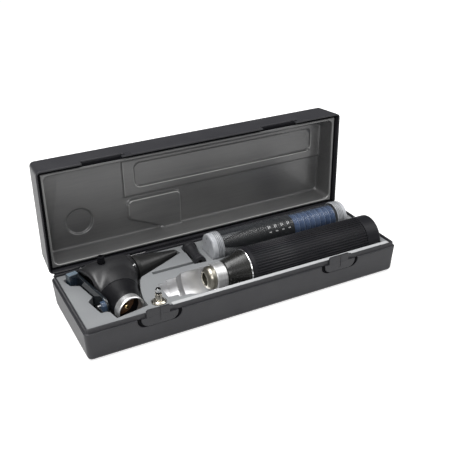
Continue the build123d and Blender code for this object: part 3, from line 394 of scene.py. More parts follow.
def make_finishes():
    """Every finish by the name of its slot, and those that only parts of a piece wear."""
    round_x, round_y, round_z = (3.0, 0.02, 0.02), (0.02, 3.0, 0.02), (0.02, 0.02, 3.0)
    return {
        "case_plastic": grained("case_grained_dark", (0.016, 0.016, 0.019), (0.022, 0.022, 0.025),
                                0.40, 0.45, 0.02, gloss=0.38),
        # Painted shade: a dull black for the lip, notches and latch pockets; the head's parting line and
        # port wear it too.
        "dull_black_and_painted_shade": grained("dull_black_painted_shade_finish", (0.003, 0.003, 0.004), (0.005, 0.005, 0.006),
                                0.7, 0.45, 0.02, gloss=0.05),
        "latch_plastic": grained("latch_smooth_dark", (0.014, 0.014, 0.017), (0.019, 0.019, 0.022),
                                 0.32, 0.6, 0.008, gloss=0.4),
        "liner_grey": make_liner_finish(),
        "tray_grey": make_tray_finish(),
        "pin_steel": turned_metal("pin_drawn_steel", (0.45, 0.45, 0.45), (0.56, 0.56, 0.56),
                                  0.3, round_x, 0.01),
        "neck_nickel": turned_metal("neck_polished_nickel", (0.27, 0.255, 0.22), (0.40, 0.38, 0.32),
                                    0.32, round_x, 0.005),
        "ring_metal": make_ring_finish(),
        "chrome": turned_metal("chrome_bright", (0.72, 0.72, 0.73), (0.84, 0.84, 0.85),
                               0.16, round_x, 0.003),
        "cone_black": grained("cone_polished_black", (0.007, 0.007, 0.007), (0.011, 0.011, 0.010),
                              0.26, 1.0, 0.004, gloss=0.35),
        "grip_black": grained("grip_matt_black", (0.005, 0.005, 0.007), (0.008, 0.008, 0.010),
                              0.44, 0.4, 0.010, gloss=0.22),
        "cell_jacket": grained("cell_satin_jacket", (0.3, 0.31, 0.33), (0.36, 0.37, 0.39),
                               0.35, 1.0, 0.01, metal=0.5),
        "spring_steel": turned_metal("spring_bright_steel", (0.5, 0.5, 0.5), (0.65, 0.65, 0.65),
                                     0.25, round_x, 0.01),
        "insulator_black": grained("insulator_black", (0.012, 0.012, 0.012), (0.018, 0.018, 0.018),
                                   0.45, 0.6, 0.01),
        "insulator_brown": grained("insulator_brown", (0.09, 0.045, 0.022), (0.13, 0.065, 0.032),
                                   0.4, 0.6, 0.01),
        "brass": turned_metal("contact_turned_brass", (0.7, 0.5, 0.24), (0.82, 0.64, 0.36),
                              0.2, round_y, 0.01),
        "head_black": grained("head_satin_black", (0.009, 0.009, 0.011), (0.013, 0.013, 0.015),
                              0.40, 0.5, 0.01, gloss=0.45),
        "head_upper": grained("head_upper_satin", (0.010, 0.010, 0.011), (0.014, 0.014, 0.015),
                              0.40, 0.5, 0.008, gloss=0.42),
        # Painted shade: a darker, duller copy of the head's black for its lower side.
        "head_lower_painted_shade": grained("head_lower_shaded_black", (0.003, 0.003, 0.004), (0.005, 0.005, 0.006),
                              0.42, 0.5, 0.008, gloss=0.24),
        # Painted shade: the dark grey of the cap rings stands in for the shade in the cap's grooves.
        "cap_ring_painted_shade": grained("cap_groove_painted_shade_grey", (0.10, 0.105, 0.11), (0.14, 0.145, 0.15),
                               0.4, 0.6, 0.006),
        "speculum_black": grained("speculum_satin_black", (0.010, 0.010, 0.010), (0.015, 0.015, 0.015),
                                  0.34, 1.6, 0.004, gloss=0.3),
        "speculum_blue": make_blue_specula_finish(),
        "lens_blue": make_lens_finish(),
        "tube_clear": make_tube_finish(),
        "cap_clear": make_cap_finish(),
        "lamp_metal": turned_metal("lamp_nickel", (0.5, 0.47, 0.4), (0.66, 0.62, 0.54),
                                   0.2, round_z, 0.01),
        "lamp_glass": clear_plastic("lamp_glass", (0.93, 0.94, 0.94), 0.03),
    }


def dress_nodes(finishes):
    """Give every carried-over node the finish of its slot."""
    for row in frame["record"]["subparts"]:
        for holder in nodes[row["node"]].material_slots:
            holder.material = finishes[row["material_slot"]].material


# ---- mesh helpers ---------------------------------------------------------------------------------
def clean_mesh(name):
    """A carried-over node as one welded mesh, in the shared frame."""
    made = bmesh.new()
    made.from_mesh(nodes[name].data)
    made.transform(nodes[name].matrix_world)
    bmesh.ops.remove_doubles(made, verts=made.verts, dist=3e-6)
    bmesh.ops.recalc_face_normals(made, faces=made.faces)
    return made


def worked_mesh(piece):
    """A new plain mesh of a piece with its modifiers worked in."""
    bpy.context.view_layer.update()
    return bpy.data.meshes.new_from_object(piece.evaluated_get(bpy.context.evaluated_depsgraph_get()))


def settle_mesh(piece):
    """Turn a piece's modifiers into its own plain mesh."""
    settled = worked_mesh(piece)
    piece.modifiers.clear()
    piece.data = settled


def shade_smooth(mesh, angle):
    """Smooth shading that breaks at edges sharper than an angle in degrees."""
    for face in mesh.polygons:
        face.use_smooth = True
    mesh.set_sharp_from_angle(angle=radians(angle))


def shade_by_area(piece, angle):
    """Smooth shading in which broad faces stay flat and only the rounded edges turn."""
    shade_smooth(piece.data, angle)
    weights = piece.modifiers.new("broad_faces_flat", "WEIGHTED_NORMAL")
    weights.mode = "FACE_AREA"
    weights.keep_sharp = True
    name = piece.data.name + "_settled"
    settle_mesh(piece)
    piece.data.name = name


def place_mesh(made, name, finish):
    """Turn a finished bmesh into an object at the origin, dressed in one finish."""
    mesh = bpy.data.meshes.new(name)
    made.to_mesh(mesh)
    made.free()
    mesh.materials.append(finish.material)
    return add_object(name, mesh)


def stand_for(piece, slot, *names):
    """Put a finished piece in place of nodes that share a body, riding with that body; the slot is not
    used.
    """
    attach(piece, body_of[names[0]])
    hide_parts(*names)


def ride_with(piece, node):
    """Let a small added piece move with a node's body."""
    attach(piece, body_of[node])


# ---- softened mouldings ---------------------------------------------------------------------------
# The recesses painted dull black for the shade in them, in millimetres.
LIP_HALF_LENGTH, LIP_Y, LIP_Z = 113.22, (38.95, 44.7), (22.8, 94.62)
LATCH_X, POCKET_HALF_WIDTH = 66.5, 14.9
POCKET_Y, POCKET_Z = (-36.35, -35.3), (13.6, 23.0)


def within(value, span):
    """True strictly between the two ends of a span."""
    return span[0] < value < span[1]


def in_recess(x, y, z):
    """True inside the open lid's lip and notches and the base's latch pockets."""
    lip = abs(x) < LIP_HALF_LENGTH and within(y, LIP_Y) and within(z, LIP_Z)
    beside_latch = abs(abs(x) - LATCH_X) < POCKET_HALF_WIDTH
    return lip or (beside_latch and within(y, POCKET_Y) and within(z, POCKET_Z))


def paint_shade_in_recesses(piece):
    """Paint the faces in the lip, the notches and the latch pockets a dull black that stands in for the
    shade in them.
    """
    piece.data.materials.append(finishes["dull_black_and_painted_shade"].material)
    for face in piece.data.polygons:
        if in_recess(*(face.center / MM)):
            face.material_index = 1


def softened(name, slot, width):
    """A copy of a node with its hard edges rounded by a width in millimetres, in place of the node."""
    made = clean_mesh(name)
    hard = [e for e in made.edges if e.is_manifold and e.calc_face_angle() > radians(28.0)]
    bmesh.ops.bevel(made, geom=hard, offset=width * MM, offset_type="OFFSET", segments=2,
                    profile=0.5, affect="EDGES", clamp_overlap=False)
    piece = place_mesh(made, name + "_softened", finishes[slot])
    shade_by_area(piece, 50.0)
    stand_for(piece, slot, name)
    return piece


# Each small piece with its slot and the width of its rounded edges in millimetres.
EASED_NODES = (
    ("latch_left", "latch_plastic", 0.08), ("latch_right", "latch_plastic", 0.08),
    ("latch_keepers", "latch_plastic", 0.15), ("handle_neck", "neck_nickel", 0.12),
    ("control_ring", "ring_metal", 0.15), ("handle_cone", "cone_black", 0.12),
    ("chrome_ring", "chrome", 0.15), ("handle_end_cap", "grip_black", 0.15),
    ("neck_ring", "ring_metal", 0.2), ("head_speculum", "speculum_black", 0.08),
    ("insufflation_port", "head_black", 0.12), ("tube_cap_left", "cap_clear", 0.3),
    ("tube_cap_right", "cap_clear", 0.3), ("specula_black", "speculum_black", 0.08),
    ("specula_blue", "speculum_blue", 0.08), ("spare_lamp_base", "lamp_metal", 0.1),
    ("spare_lamp_glass", "lamp_glass", 0.1), ("spare_adapter", "head_black", 0.2),
    ("front_screw", "pin_steel", 0.06), ("socket_insulator", "insulator_brown", 0.08),
    ("socket_contact", "brass", 0.08), ("contact_pin", "brass", 0.05),
)


def ease_small_pieces():
    """Round the edges of the small pieces; the port on the head is duller than its slot's finish."""
    for name, slot, width in EASED_NODES:
        eased = softened(name, slot, width)
        if name == "insufflation_port":
            eased.material_slots[0].material = finishes["dull_black_and_painted_shade"].material


# ---- liner ----------------------------------------------------------------------------------------
# Millimetres in the shut lid; the channel's sides are left, right, front and rear.
HINGE_Y, HINGE_Z = 38.6, 20.0
FLANGE_LEVEL, PAN_LEVEL = 22.65, 36.6
FOOT_ROUND, RIM_ROUND = 1.5, 0.8
SHEET = 0.8
LEFT_LAND, REAR_LAND = -52.6, 1.2
HANDLE_CHANNEL = (-44.0, 99.5, -22.8, -5.2)
PLATE_LEFT, PLATE_RIGHT, PLATE_FRONT = -50.4, -10.2, 4.3
SLANT_Y, SLANT_RISE, NOTCH_X = 18.6, 0.44, -27.0
FACET_X, FACET_Y, FACET_LEAN, FACET_RISE = -96.8, -24.2, 0.209, 0.13
RING_X, RING_Y, RING_RADIUS = -85.4, 12.4, 9.4
LAND_DEPTH, CHANNEL_DEPTH, PLATE_DEPTH, RING_DEPTH = 2.1, 1.6, 0.1, 3.7


def opened(x, y, z):
    """A place in the shut lid, in millimetres, turned with the lid to where it stands open."""
    return Vector((x, HINGE_Y - HINGE_Z + z, HINGE_Y + HINGE_Z - y)) * MM


def settle(value):
    """A smooth step from 0 to 1 for a value from -0.5 to 0.5."""
    t = min(1.0, max(0.0, value + 0.5))
    return t * t * (3.0 - 2.0 * t)


def rounded_box(x, y, box, radius):
    """How far a place is outside a box with rounded corners, negative inside."""
    left, right, front, rear = box
    dx = abs(x - (left + right) / 2) - (right - left) / 2 + radius
    dy = abs(y - (front + rear) / 2) - (rear - front) / 2 + radius
    return hypot(max(dx, 0.0), max(dy, 0.0)) + min(max(dx, dy), 0.0) - radius


def smooth_most(first, second, blend):
    """The larger of two numbers, rounded where they meet."""
    if abs(first - second) > blend:
        return max(first, second)
    share = (blend - abs(first - second)) / blend
    return max(first, second) + blend * share * share / 4.0


def from_ring(x, y):
    """How far a place is from the middle of the round recess."""
    return hypot(x - RING_X, y - RING_Y)


def liner_relief(x, y):
    """How much deeper the liner is drawn at a place than its highest lands."""
    deep = max(settle((LEFT_LAND - x) / 1.3), settle((y - REAR_LAND) / 1.3))
    drawn = LAND_DEPTH * deep
    drawn += (CHANNEL_DEPTH - drawn) * settle(-rounded_box(x, y, HANDLE_CHANNEL, 4.0) / 1.2)
    drawn += (PLATE_DEPTH - drawn) * settle(-spare_plate(x, y) / 1.4)
    facet = (x - FACET_X + (y - FACET_Y) * FACET_LEAN) / 1.0216
    drawn += min(0.0, facet) * FACET_RISE * settle((-facet) / 1.2)
    drawn += (RING_DEPTH - drawn) * settle((RING_RADIUS - from_ring(x, y)) / 1.3)
    return drawn


def spare_plate(x, y):
    """How far a place is outside the spare parts' plate with its slanted, notched corner."""
    whole = rounded_box(x, y, (PLATE_LEFT, PLATE_RIGHT, PLATE_FRONT, 60.0), 4.0)
    slant = (y - SLANT_Y - (x - PLATE_LEFT) * SLANT_RISE) / 1.093
    notch = NOTCH_X - x
    return smooth_most(whole, min(slant, notch) if slant > 0.0 else slant, 2.5)


def pan_box(share):
    """The pan's outline at a share of its height, from the flange up."""
    side = 109.5 - 1.2 * share
    return (-side, side, -31.8 + 5.1 * share, 32.2 - 1.5 * share)


def liner_level(x, y):
    """The height of the liner's visible face in the shut lid, in millimetres."""
    inside = -rounded_box(x, y, pan_box(1.0), 3.5)
    if inside >= 0.0:
        gap = max(0.0, FOOT_ROUND - inside)
        return PAN_LEVEL + liner_relief(x, y) - FOOT_ROUND + sqrt(FOOT_ROUND ** 2 - gap ** 2)
    outside = rounded_box(x, y, pan_box(0.0), 4.0)
    if outside >= 0.0:
        gap = max(0.0, RIM_ROUND - outside)
        return FLANGE_LEVEL + RIM_ROUND - sqrt(RIM_ROUND ** 2 - gap ** 2)
    low, high = 0.0, 1.0
    for step in range(14):
        middle = (low + high) / 2
        if rounded_box(x, y, pan_box(middle), 4.0 - 0.5 * middle) < 0.0:
            low = middle
        else:
            high = middle
    top = PAN_LEVEL + liner_relief(x, y) - FOOT_ROUND
    return FLANGE_LEVEL + RIM_ROUND + (top - FLANGE_LEVEL - RIM_ROUND) * low


def liner_painted_edge_light(x, y):
    """How sharply the visible face turns towards the case at a place, negative in a hollow; crests count
    for more where the face looks up. The liner's finish paints this as highlight on crests and shade in
    hollows.
    """
    reach = 0.4
    right, left = liner_level(x + reach, y), liner_level(x - reach, y)
    rear, front = liner_level(x, y + reach), liner_level(x, y - reach)
    slope = hypot(right - left, rear - front) / (2.0 * reach)
    bend = (right + left + rear + front - 4.0 * liner_level(x, y)) / (reach * reach)
    sharp = max(-1.0, min(1.0, 0.7 * bend / (1.0 + slope * slope) ** 1.5))
    facing_up = (front - rear) / (2.0 * reach)
    return sharp * min(1.0, max(0.1, 0.42 + 1.1 * facing_up)) if sharp > 0.0 else sharp


def graded(low, high, coarse, fine, lines):
    """Places from low to high, close together near the listed (line, reach) pairs."""
    places = [low]
    while places[-1] < high:
        here = places[-1]
        near = any(abs(here - line) < reach for line, reach in lines)
        places.append(here + (fine if near else coarse))
    places[-1] = high
    return places


def halved(places, low, high):
    """The same places with one more half way between each pair inside a stretch."""
    made = []
    for here, after in zip(places, places[1:]):
        made.append(here)
        if low < here < high and after - here > 0.4:
            made.append((here + after) / 2.0)
    return made + [places[-1]]


def make_liner():
    """The formed sheet in the lid: a flange, sloping walls, and a floor with drawn recesses."""
    flange_x, flange_y, wall_x = 111.1, 33.7, 109.0
    left, right, front, rear = HANDLE_CHANNEL
    across = graded(-flange_x, 0.0, 0.85, 0.2,
                    [(-wall_x, 2.4), (LEFT_LAND, 1.0), (left, 1.0), (PLATE_RIGHT, 1.0)])[:-1]
    across += graded(0.0, flange_x, 1.6, 0.2, [(wall_x, 2.4), (right, 1.2)])
    steps = [(front, 0.9), (rear, 0.9), (REAR_LAND, 0.9), (PLATE_FRONT, 1.0)]
    down = graded(-flange_y, flange_y, 0.7, 0.28, [(-32.0, 1.4), (-26.7, 1.2)] + steps + [(31.5, 1.9)])
    across, down = halved(across, -96.5, -74.5), halved(down, 1.5, 23.5)
    made = bmesh.new()
    painted_edge_light_and_shade = made.verts.layers.float.new("painted_edge_light_and_shade")
    rows = []
    for y in down:
        rows.append([made.verts.new(opened(x, y, liner_level(x, y))) for x in across])
        for x, vertex in zip(across, rows[-1]):
            # Each vertex carries the liner's painted highlight and shade, weaker in the round recess.
            round_recess = from_ring(x, y) < 12.0
            vertex[painted_edge_light_and_shade] = liner_painted_edge_light(x, y) * (0.25 if round_recess else 1.0)
    for first, second in zip(rows, rows[1:]):
        for a, b, c, d in zip(first, first[1:], second[1:], second):
            made.faces.new((a, b, c, d))
    piece = place_mesh(made, "lid_liner_formed", finishes["liner_grey"])
    shade_smooth(piece.data, 60.0)
    wall = piece.modifiers.new("sheet", "SOLIDIFY")
    wall.thickness = SHEET * MM
    wall.offset = 1.0
    stand_for(piece, "liner_grey", "lid_liner")


# ---- head -----------------------------------------------------------------------------------------
# Millimetres in the head's own axes: the stretch that is blended, and the parting line.
BLEND_FRONT, BLEND_REAR, BLEND_FADE = -32.0, 1.0, 4.0
PARTING_SLOPE, PARTING_RISE, PARTING_HALF_WIDTH = 0.16, 18.6, 0.34


def make_head_skin():
    """The head's two mouldings as one smoothly blended skin with a fine parting line and painted shade on
    its lower side.
    """
    made = clean_mesh("head_housing")
    other = clean_mesh("neck_housing")
    carried = bpy.data.meshes.new("neck_housing_copy")
    other.to_mesh(carried)
    other.free()
    made.from_mesh(carried)
    bpy.data.meshes.remove(carried)
    piece = place_mesh(made, "head_blended_skin", finishes["head_upper"])
    grid = piece.modifiers.new("even_grid", "REMESH")
    grid.mode = "VOXEL"
    grid.voxel_size = 0.42 * MM
    settle_mesh(piece)
    inward = HEAD_PLACE.inverted()
    group = piece.vertex_groups.new(name="blend")
    for point in piece.data.vertices:
        along = (inward @ point.co).y / MM
        share = min((BLEND_REAR - along) / BLEND_FADE, (along - BLEND_FRONT) / BLEND_FADE)
        group.add([point.index], min(1.0, max(0.0, share)), "REPLACE")
    for label, steps, held in (("eased", 2, ""), ("blended", 170, "blend")):
        ease = piece.modifiers.new(label, "SMOOTH")
        ease.factor = 0.6
        ease.iterations = steps
        ease.vertex_group = held
    settle_mesh(piece)
    piece.vertex_groups.clear()
    for key in ("head_lower_painted_shade", "dull_black_and_painted_shade"):
        piece.data.materials.append(finishes[key].material)
    # Faces below the parting line take a darker, duller copy of the black, painted shade on the head's
    # lower side; a thin band along the line takes the dull black.
    for face in piece.data.polygons:
        face.use_smooth = True
        place = inward @ face.center / MM
        above = place.y + PARTING_SLOPE * place.x + PARTING_RISE
        face.material_index = 2 if abs(above) < PARTING_HALF_WIDTH else int(above < 0.0)
    stand_for(piece, "head_black", "head_housing", "neck_housing")


def lens_slab(made, outline, low, high):
    """A flat slab with an outline in the lens plane, between two depths, all in millimetres."""
    ends = [[made.verts.new((u, v, w)) for v, w in outline] for u in (low, high)]
    made.faces.new(ends[0])
    made.faces.new(list(reversed(ends[1])))
    for a, b, c, d in zip(ends[0], ends[0][1:] + ends[0][:1], ends[1][1:] + ends[1][:1], ends[1]):
        made.faces.new((a, d, c, b))


def arc(v, w, radius, begin, end, steps):
    """Places on an arc in the lens plane, angles in degrees."""
    angles = [radians(begin + (end - begin) * n / steps) for n in range(steps + 1)]
    return [(v + radius * cos(t), w + radius * sin(t)) for t in angles]


def make_lens():
    """The tinted lens: a long plate with a thick rear grip and a small front grip."""
    tip, end, half, corner = -25.5, 12.0, 6.0, 2.5
    inset = half - corner
    corners = arc(end, -inset, corner, -90.0, 0.0, 6) + arc(end, inset, corner, 0.0, 90.0, 6)
    plate = arc(tip, 0.0, half, 90.0, 270.0, 24) + corners
    rear = [(8.3, half), (8.3, -half)] + corners
    front = [(-26.8, 4.4), (-29.3, 4.4), (-30.9, 2.6), (-30.9, -1.6), (-26.8, -1.6)]
    made = bmesh.new()
    lens_slab(made, plate, 0.3, 2.2)
    lens_slab(made, rear, -4.5, 0.45)
    lens_slab(made, front, -2.3, 0.45)
    made.transform(HEAD_PLACE @ Matrix.Scale(MM, 4))
    bmesh.ops.recalc_face_normals(made, faces=made.faces)
    hard = [e for e in made.edges if e.calc_face_angle() > radians(40.0)]
    bmesh.ops.bevel(made, geom=hard, offset=0.45 * MM, offset_type="OFFSET", segments=3, profile=0.5,
                    affect="EDGES", clamp_overlap=True)
    piece = place_mesh(made, "lens_moulded", finishes["lens_blue"])
    shade_by_area(piece, 50.0)
    stand_for(piece, "lens_blue", "swivel_lens")


# ---- repeated details -----------------------------------------------------------------------------
def repeat_tree(name, inputs):
    """An empty Geometry Nodes tree with named number inputs and a geometry output."""
    tree = bpy.data.node_groups.new(name, "GeometryNodeTree")
    tree.is_modifier = True
    for label, kind in inputs:
        tree.interface.new_socket(label, in_out="INPUT", socket_type=kind)
    tree.interface.new_socket("Geometry", in_out="OUTPUT", socket_type="NodeSocketGeometry")
    return tree, tree.nodes.new("NodeGroupInput"), tree.nodes.new("NodeGroupOutput")


def run_tree(tree, name, finish, values, place):
    """Run a tree once, bake its result into a plain mesh and set it in its place."""
    holder = add_object(name + "_maker", bpy.data.meshes.new(name + "_maker"))
    modifier = holder.modifiers.new("repeat", "NODES")
    modifier.node_group = tree
    for item in tree.interface.items_tree:
        if item.in_out == "INPUT":
            modifier[item.identifier] = values[item.name]
    mesh = worked_mesh(holder)
    holder.modifiers.clear()
    bpy.data.objects.remove(holder)
    mesh.name = name
    mesh.transform(place)
    if not mesh.materials:
        mesh.materials.append(finish.material)
    return add_object(name, mesh)


def finish_tree(tree, geometry, out, finish):
    """Close a tree with real geometry in one finish."""
    solid = grown(tree, "GeometryNodeRealizeInstances", {"Geometry": geometry})
    dressed = grown(tree, "GeometryNodeSetMaterial", {
        "Geometry": solid.outputs[0], "Material": finish.material})
    tree.links.new(dressed.outputs[0], out.inputs[0])


def around_axis_tree(finish):
    """Long round-topped ribs laid at an even pitch round the X axis."""
    tree, given, out = repeat_tree("ribs_round_axis", [
        ("Count", "NodeSocketInt"), ("Radius", "NodeSocketFloat"), ("Start", "NodeSocketFloat"),
        ("Length", "NodeSocketFloat"), ("Rib Radius", "NodeSocketFloat")])
    rib = grown(tree, "GeometryNodeMeshCylinder", {
        "Vertices": 8, "Radius": given.outputs["Rib Radius"], "Depth": given.outputs["Length"]})
    half = grown(tree, "ShaderNodeMath", {0: given.outputs["Length"], 1: 0.5}, operation="MULTIPLY")
    middle = grown(tree, "ShaderNodeMath", {0: half.outputs[0], 1: given.outputs["Start"]}, operation="ADD")
    spot = grown(tree, "ShaderNodeCombineXYZ", {"X": middle.outputs[0], "Z": given.outputs["Radius"]})
    laid = grown(tree, "GeometryNodeTransform", {
        "Geometry": rib.outputs["Mesh"], "Translation": spot.outputs[0], "Rotation": (0.0, pi / 2, 0.0)})
    points = grown(tree, "GeometryNodeMeshLine", {
        "Count": given.outputs["Count"], "Offset": (0.0, 0.0, 0.0)})
    index = grown(tree, "GeometryNodeInputIndex", {})
    pitch = grown(tree, "ShaderNodeMath", {0: 2 * pi, 1: given.outputs["Count"]}, operation="DIVIDE")
    turn = grown(tree, "ShaderNodeMath", {0: index.outputs[0], 1: pitch.outputs[0]}, operation="MULTIPLY")
    rolled = grown(tree, "ShaderNodeCombineXYZ", {"X": turn.outputs[0]})
    set_out = grown(tree, "GeometryNodeInstanceOnPoints", {
        "Points": points.outputs["Mesh"], "Instance": laid.outputs[0], "Rotation": rolled.outputs[0]})
    smooth = grown(tree, "GeometryNodeSetShadeSmooth", {"Geometry": set_out.outputs[0]})
    finish_tree(tree, smooth.outputs[0], out, finish)
    return tree


def along_axis_tree(finish):
    """Thin bands round the X axis, repeated along it at an even pitch."""
    tree, given, out = repeat_tree("bands_along_axis", [
        ("Count", "NodeSocketInt"), ("Radius", "NodeSocketFloat"), ("Start", "NodeSocketFloat"),
        ("Pitch", "NodeSocketFloat"), ("Band Radius", "NodeSocketFloat")])
    ring = grown(tree, "GeometryNodeCurvePrimitiveCircle", {
        "Resolution": 96, "Radius": given.outputs["Radius"]}, mode="RADIUS")
    section = grown(tree, "GeometryNodeCurvePrimitiveCircle", {
        "Resolution": 8, "Radius": given.outputs["Band Radius"]}, mode="RADIUS")
    band = grown(tree, "GeometryNodeCurveToMesh", {
        "Curve": ring.outputs[0], "Profile Curve": section.outputs[0]})
    stood = grown(tree, "GeometryNodeTransform", {
        "Geometry": band.outputs[0], "Rotation": (0.0, pi / 2, 0.0)})
    begin = grown(tree, "ShaderNodeCombineXYZ", {"X": given.outputs["Start"]})
    stride = grown(tree, "ShaderNodeCombineXYZ", {"X": given.outputs["Pitch"]})
    points = grown(tree, "GeometryNodeMeshLine", {
        "Count": given.outputs["Count"], "Start Location": begin.outputs[0], "Offset": stride.outputs[0]})
    set_out = grown(tree, "GeometryNodeInstanceOnPoints", {
        "Points": points.outputs["Mesh"], "Instance": stood.outputs[0]})
    smooth = grown(tree, "GeometryNodeSetShadeSmooth", {"Geometry": set_out.outputs[0]})
    finish_tree(tree, smooth.outputs[0], out, finish)
    return tree


def marks_tree(finish):
    """Small printed bars in a row along the X axis, turned about it by an angle."""
    tree, given, out = repeat_tree("marks_in_row", [
        ("Count", "NodeSocketInt"), ("Radius", "NodeSocketFloat"), ("Start", "NodeSocketFloat"),
        ("Pitch", "NodeSocketFloat"), ("Angle", "NodeSocketFloat"), ("Slope", "NodeSocketFloat"),
        ("Size", "NodeSocketVector")])
    bar = grown(tree, "GeometryNodeMeshCube", {"Size": given.outputs["Size"]})
    begin = grown(tree, "ShaderNodeCombineXYZ", {"X": given.outputs["Start"], "Z": given.outputs["Radius"]})
    stride = grown(tree, "ShaderNodeCombineXYZ", {"X": given.outputs["Pitch"]})
    points = grown(tree, "GeometryNodeMeshLine", {
        "Count": given.outputs["Count"], "Start Location": begin.outputs[0], "Offset": stride.outputs[0]})
    tilt = grown(tree, "ShaderNodeCombineXYZ", {"Y": given.outputs["Slope"]})
    set_out = grown(tree, "GeometryNodeInstanceOnPoints", {
        "Points": points.outputs["Mesh"], "Instance": bar.outputs["Mesh"], "Rotation": tilt.outputs[0]})
    turn = grown(tree, "ShaderNodeCombineXYZ", {"X": given.outputs["Angle"]})
    turned = grown(tree, "GeometryNodeTransform", {
        "Geometry": set_out.outputs[0], "Rotation": turn.outputs[0]})
    finish_tree(tree, turned.outputs[0], out, finish)
    return tree


TUBE_OUTER, TUBE_INNER = 9.5 * MM, 8.8 * MM
TUBE_LENGTHS, TUBE_SIDES = 12, 144


def make_tube():
    """The clear tube as an evenly divided wall, so that its highlights run straight."""
    barrel = nodes["tube_barrel"]
    reach = [(barrel.matrix_world @ Vector(corner)).x for corner in barrel.bound_box]
    first, last = min(reach), max(reach)
    lengths = [first + (last - first) * n / TUBE_LENGTHS for n in range(TUBE_LENGTHS + 1)]
    profile = [(x, TUBE_OUTER) for x in lengths] + [(x, TUBE_INNER) for x in reversed(lengths)]
    turns = [2.0 * pi * n / TUBE_SIDES for n in range(TUBE_SIDES)]
    made = bmesh.new()
    rings = []
    for x, radius in profile:
        rings.append([made.verts.new((x, radius * cos(t), radius * sin(t))) for t in turns])
    for near, far in zip(rings, rings[1:] + rings[:1]):
        for n in range(TUBE_SIDES):
            made.faces.new((near[n - 1], near[n], far[n], far[n - 1]))
    bmesh.ops.recalc_face_normals(made, faces=made.faces)
    made.transform(TUBE_AXIS)
    piece = place_mesh(made, "tube_barrel_even", finishes["tube_clear"])
    shade_smooth(piece.data, 40.0)
    stand_for(piece, "tube_clear", "tube_barrel")


def make_sleeve_ribs():
    """Round-topped grip ribs along the sleeve."""
    finish = finishes["grip_black"]
    count = 48
    values = {"Count": count, "Radius": 13.70 * MM, "Start": 7.0 * MM, "Length": 90.6 * MM,
              "Rib Radius": 0.50 * MM}
    half_pitch = Matrix.Rotation(pi / count, 4, "X")
    piece = run_tree(around_axis_tree(finish), "sleeve_grip_ribs", finish, values, HANDLE_AXIS @ half_pitch)
    ride_with(piece, "handle_sleeve")


def make_cap_rings():
    """Fine rings moulded round the mouth of each tube cap, in a dark grey that paints the shade in the
    grooves between them.
    """
    finish = finishes["cap_ring_painted_shade"]
    tree = along_axis_tree(finish)
    for node, start in (("tube_cap_left", -4.9), ("tube_cap_right", 94.6)):
        values = {"Count": 4, "Radius": 10.1 * MM, "Start": start * MM, "Pitch": 1.2 * MM,
                  "Band Radius": 0.22 * MM}
        piece = run_tree(tree, node + "_rings", finish, values, TUBE_AXIS)
        ride_with(piece, node)


def make_speculum_marks():
    """Pale printed bars on the exposed cones of the black specula, in two rows."""
    finish = grained("mark_print_pale", (0.62, 0.62, 0.62), (0.80, 0.80, 0.80), 0.5, 0.3, 0.004)
    tree = marks_tree(finish)
    rows = (("marks_upper_left", 36.9, 34.0, (0.6, 2.4, 0.12)),
            ("marks_upper_right", 38.1, 33.0, (0.5, 1.7, 0.12)),
            ("marks_lower", 37.5, 62.0, (1.9, 0.75, 0.12)))
    for name, start, angle, size in rows:
        values = {"Count": 4, "Radius": 7.66 * MM, "Start": start * MM, "Pitch": 5.2 * MM,
                  "Angle": radians(angle), "Slope": radians(-11.5), "Size": Vector(size) * MM}
        piece = run_tree(tree, name, finish, values, TUBE_AXIS)
        ride_with(piece, "specula_black")


# ---- floor and light ------------------------------------------------------------------------------
def seen_straight(tree, glossy):
    """One for rays from the camera and through clear plastic, and a chosen share for mirror rays."""
    path = tree.nodes.new("ShaderNodeLightPath").outputs
    direct = grown(tree, "ShaderNodeMath", {0: path["Is Camera Ray"], 1: path["Is Transmission Ray"]},
                   operation="MAXIMUM")
    mirror = grown(tree, "ShaderNodeMath", {0: path["Is Glossy Ray"], 1: glossy}, operation="MULTIPLY")
    either = grown(tree, "ShaderNodeMath", {0: direct.outputs[0], 1: mirror.outputs[0]},
                   operation="MAXIMUM")
    return either.outputs[0]


def make_floor():
    """A wide pale floor that keeps the soft shadow."""
    mesh = bpy.data.meshes.new("floor")
    reach, level = 6.0, -0.0002
    corners = [(x * reach, y * reach, level) for x, y in ((-1, -1), (1, -1), (1, 1), (-1, 1))]
    mesh.from_pydata(corners, [], [(0, 1, 2, 3)])
    floor = add_object("floor", mesh)
    material = bpy.data.materials.new("floor_white")
    material.use_nodes = True
    tree = material.node_tree
    shader = tree.nodes["Principled BSDF"]
    shader.inputs["Base Color"].default_value = (0.6, 0.6, 0.6, 1.0)
    shader.inputs["Roughness"].default_value = 0.9
    shader.inputs["Specular IOR Level"].default_value = 0.0
    glow = grown(tree, "ShaderNodeEmission", {
        "Strength": seen_straight(tree, 0.35), "Color": (0.62, 0.62, 0.62, 1.0)})
    both = grown(tree, "ShaderNodeAddShader", {0: shader.outputs[0], 1: glow.outputs[0]})
    tree.links.new(both.outputs[0], tree.nodes["Material Output"].inputs["Surface"])
    mesh.materials.append(material)


def ceiling_glow(tree, low, high):
    """How bright the surround is for mirror rays: dim low down, bright high up towards the front."""
    outlook = tree.nodes.new("ShaderNodeTexCoord").outputs["Generated"]
    aim = grown(tree, "ShaderNodeSeparateXYZ", {0: outlook})
    shares = []
    for label, begin, end in (("Z", 0.42, 0.72), ("Y", 0.25, -0.10)):
        ends = {"Value": aim.outputs[label], "From Min": begin, "From Max": end}
        share = grown(tree, "ShaderNodeMapRange", ends, interpolation_type="SMOOTHSTEP")
        shares.append(share.outputs["Result"])
    both = grown(tree, "ShaderNodeMath", {0: shares[0], 1: shares[1]}, operation="MULTIPLY")
    glow = grown(tree, "ShaderNodeMath", {0: both.outputs[0], 1: high - low, 2: low},
                 operation="MULTIPLY_ADD")
    return glow.outputs[0]


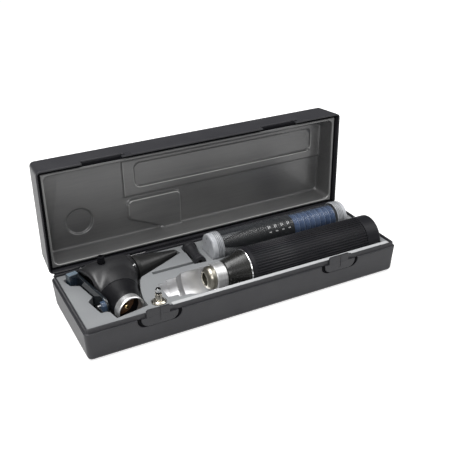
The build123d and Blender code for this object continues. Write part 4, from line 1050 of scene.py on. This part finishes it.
def make_world():
    """An even surround, white where it is seen straight and dimmer for mirror rays."""
    world = bpy.data.worlds.new("surround")
    bpy.context.scene.world = world
    world.use_nodes = True
    tree = world.node_tree
    sky = tree.nodes["Background"]
    mirror_ray = tree.nodes.new("ShaderNodeLightPath").outputs["Is Glossy Ray"]
    sheen = grown(tree, "ShaderNodeMix", {0: mirror_ray, 2: 0.40, 3: ceiling_glow(tree, 0.12, 0.85)},
                  data_type="FLOAT")
    mix = grown(tree, "ShaderNodeMix", {0: seen_straight(tree, 0.0), 2: sheen.outputs[0], 3: 1.0},
                data_type="FLOAT")
    sky.inputs["Color"].default_value = (1.0, 1.0, 1.0, 1.0)
    tree.links.new(mix.outputs[0], sky.inputs["Strength"])


def make_lamp(name, place, target, width, height, power):
    """A soft rectangular lamp at a place, facing a target."""
    data = bpy.data.lights.new(name, "AREA")
    data.shape = "RECTANGLE"
    data.size, data.size_y = width, height
    data.energy = power
    lamp = add_object(name, data)
    lamp.location = place
    aim = Vector(target) - Vector(place)
    lamp.rotation_mode = "QUATERNION"
    lamp.rotation_quaternion = aim.to_track_quat("-Z", "Y")


# Each lamp's name, place, target, width, height and power.
LAMPS = (
    ("overhead_softbox", (-0.24, 0.10, 0.95), (0.0, 0.0, 0.0), 0.8, 0.45, 12.5),
    ("overhead_right_softbox", (0.42, -0.22, 0.90), (0.0, 0.02, 0.04), 0.42, 0.7, 1.8),
    ("front_softbox", (-0.55, -1.0, 0.65), (0.0, 0.0, 0.03), 0.6, 0.5, 6.0),
    ("right_softbox", (0.9, -0.25, 0.5), (0.0, 0.0, 0.03), 0.5, 0.5, 3.0),
)


def make_light():
    """The surround and its soft lamps."""
    make_world()
    for name, place, target, width, height, power in LAMPS:
        make_lamp(name, place, target, width, height, power)


# ---- everything -----------------------------------------------------------------------------------
bpy.context.scene.view_settings.view_transform = "Standard"
make_camera()
make_floor()
make_light()
finishes = make_finishes()
dress_nodes(finishes)
paint_shade_in_recesses(softened("base_shell", "case_plastic", 0.35))
paint_shade_in_recesses(softened("lid_shell", "case_plastic", 0.35))
softened("base_tray", "tray_grey", 0.4)
make_liner()
make_sleeve_ribs()
make_cap_rings()
make_speculum_marks()
make_tube()
make_head_skin()
make_lens()
ease_small_pieces()
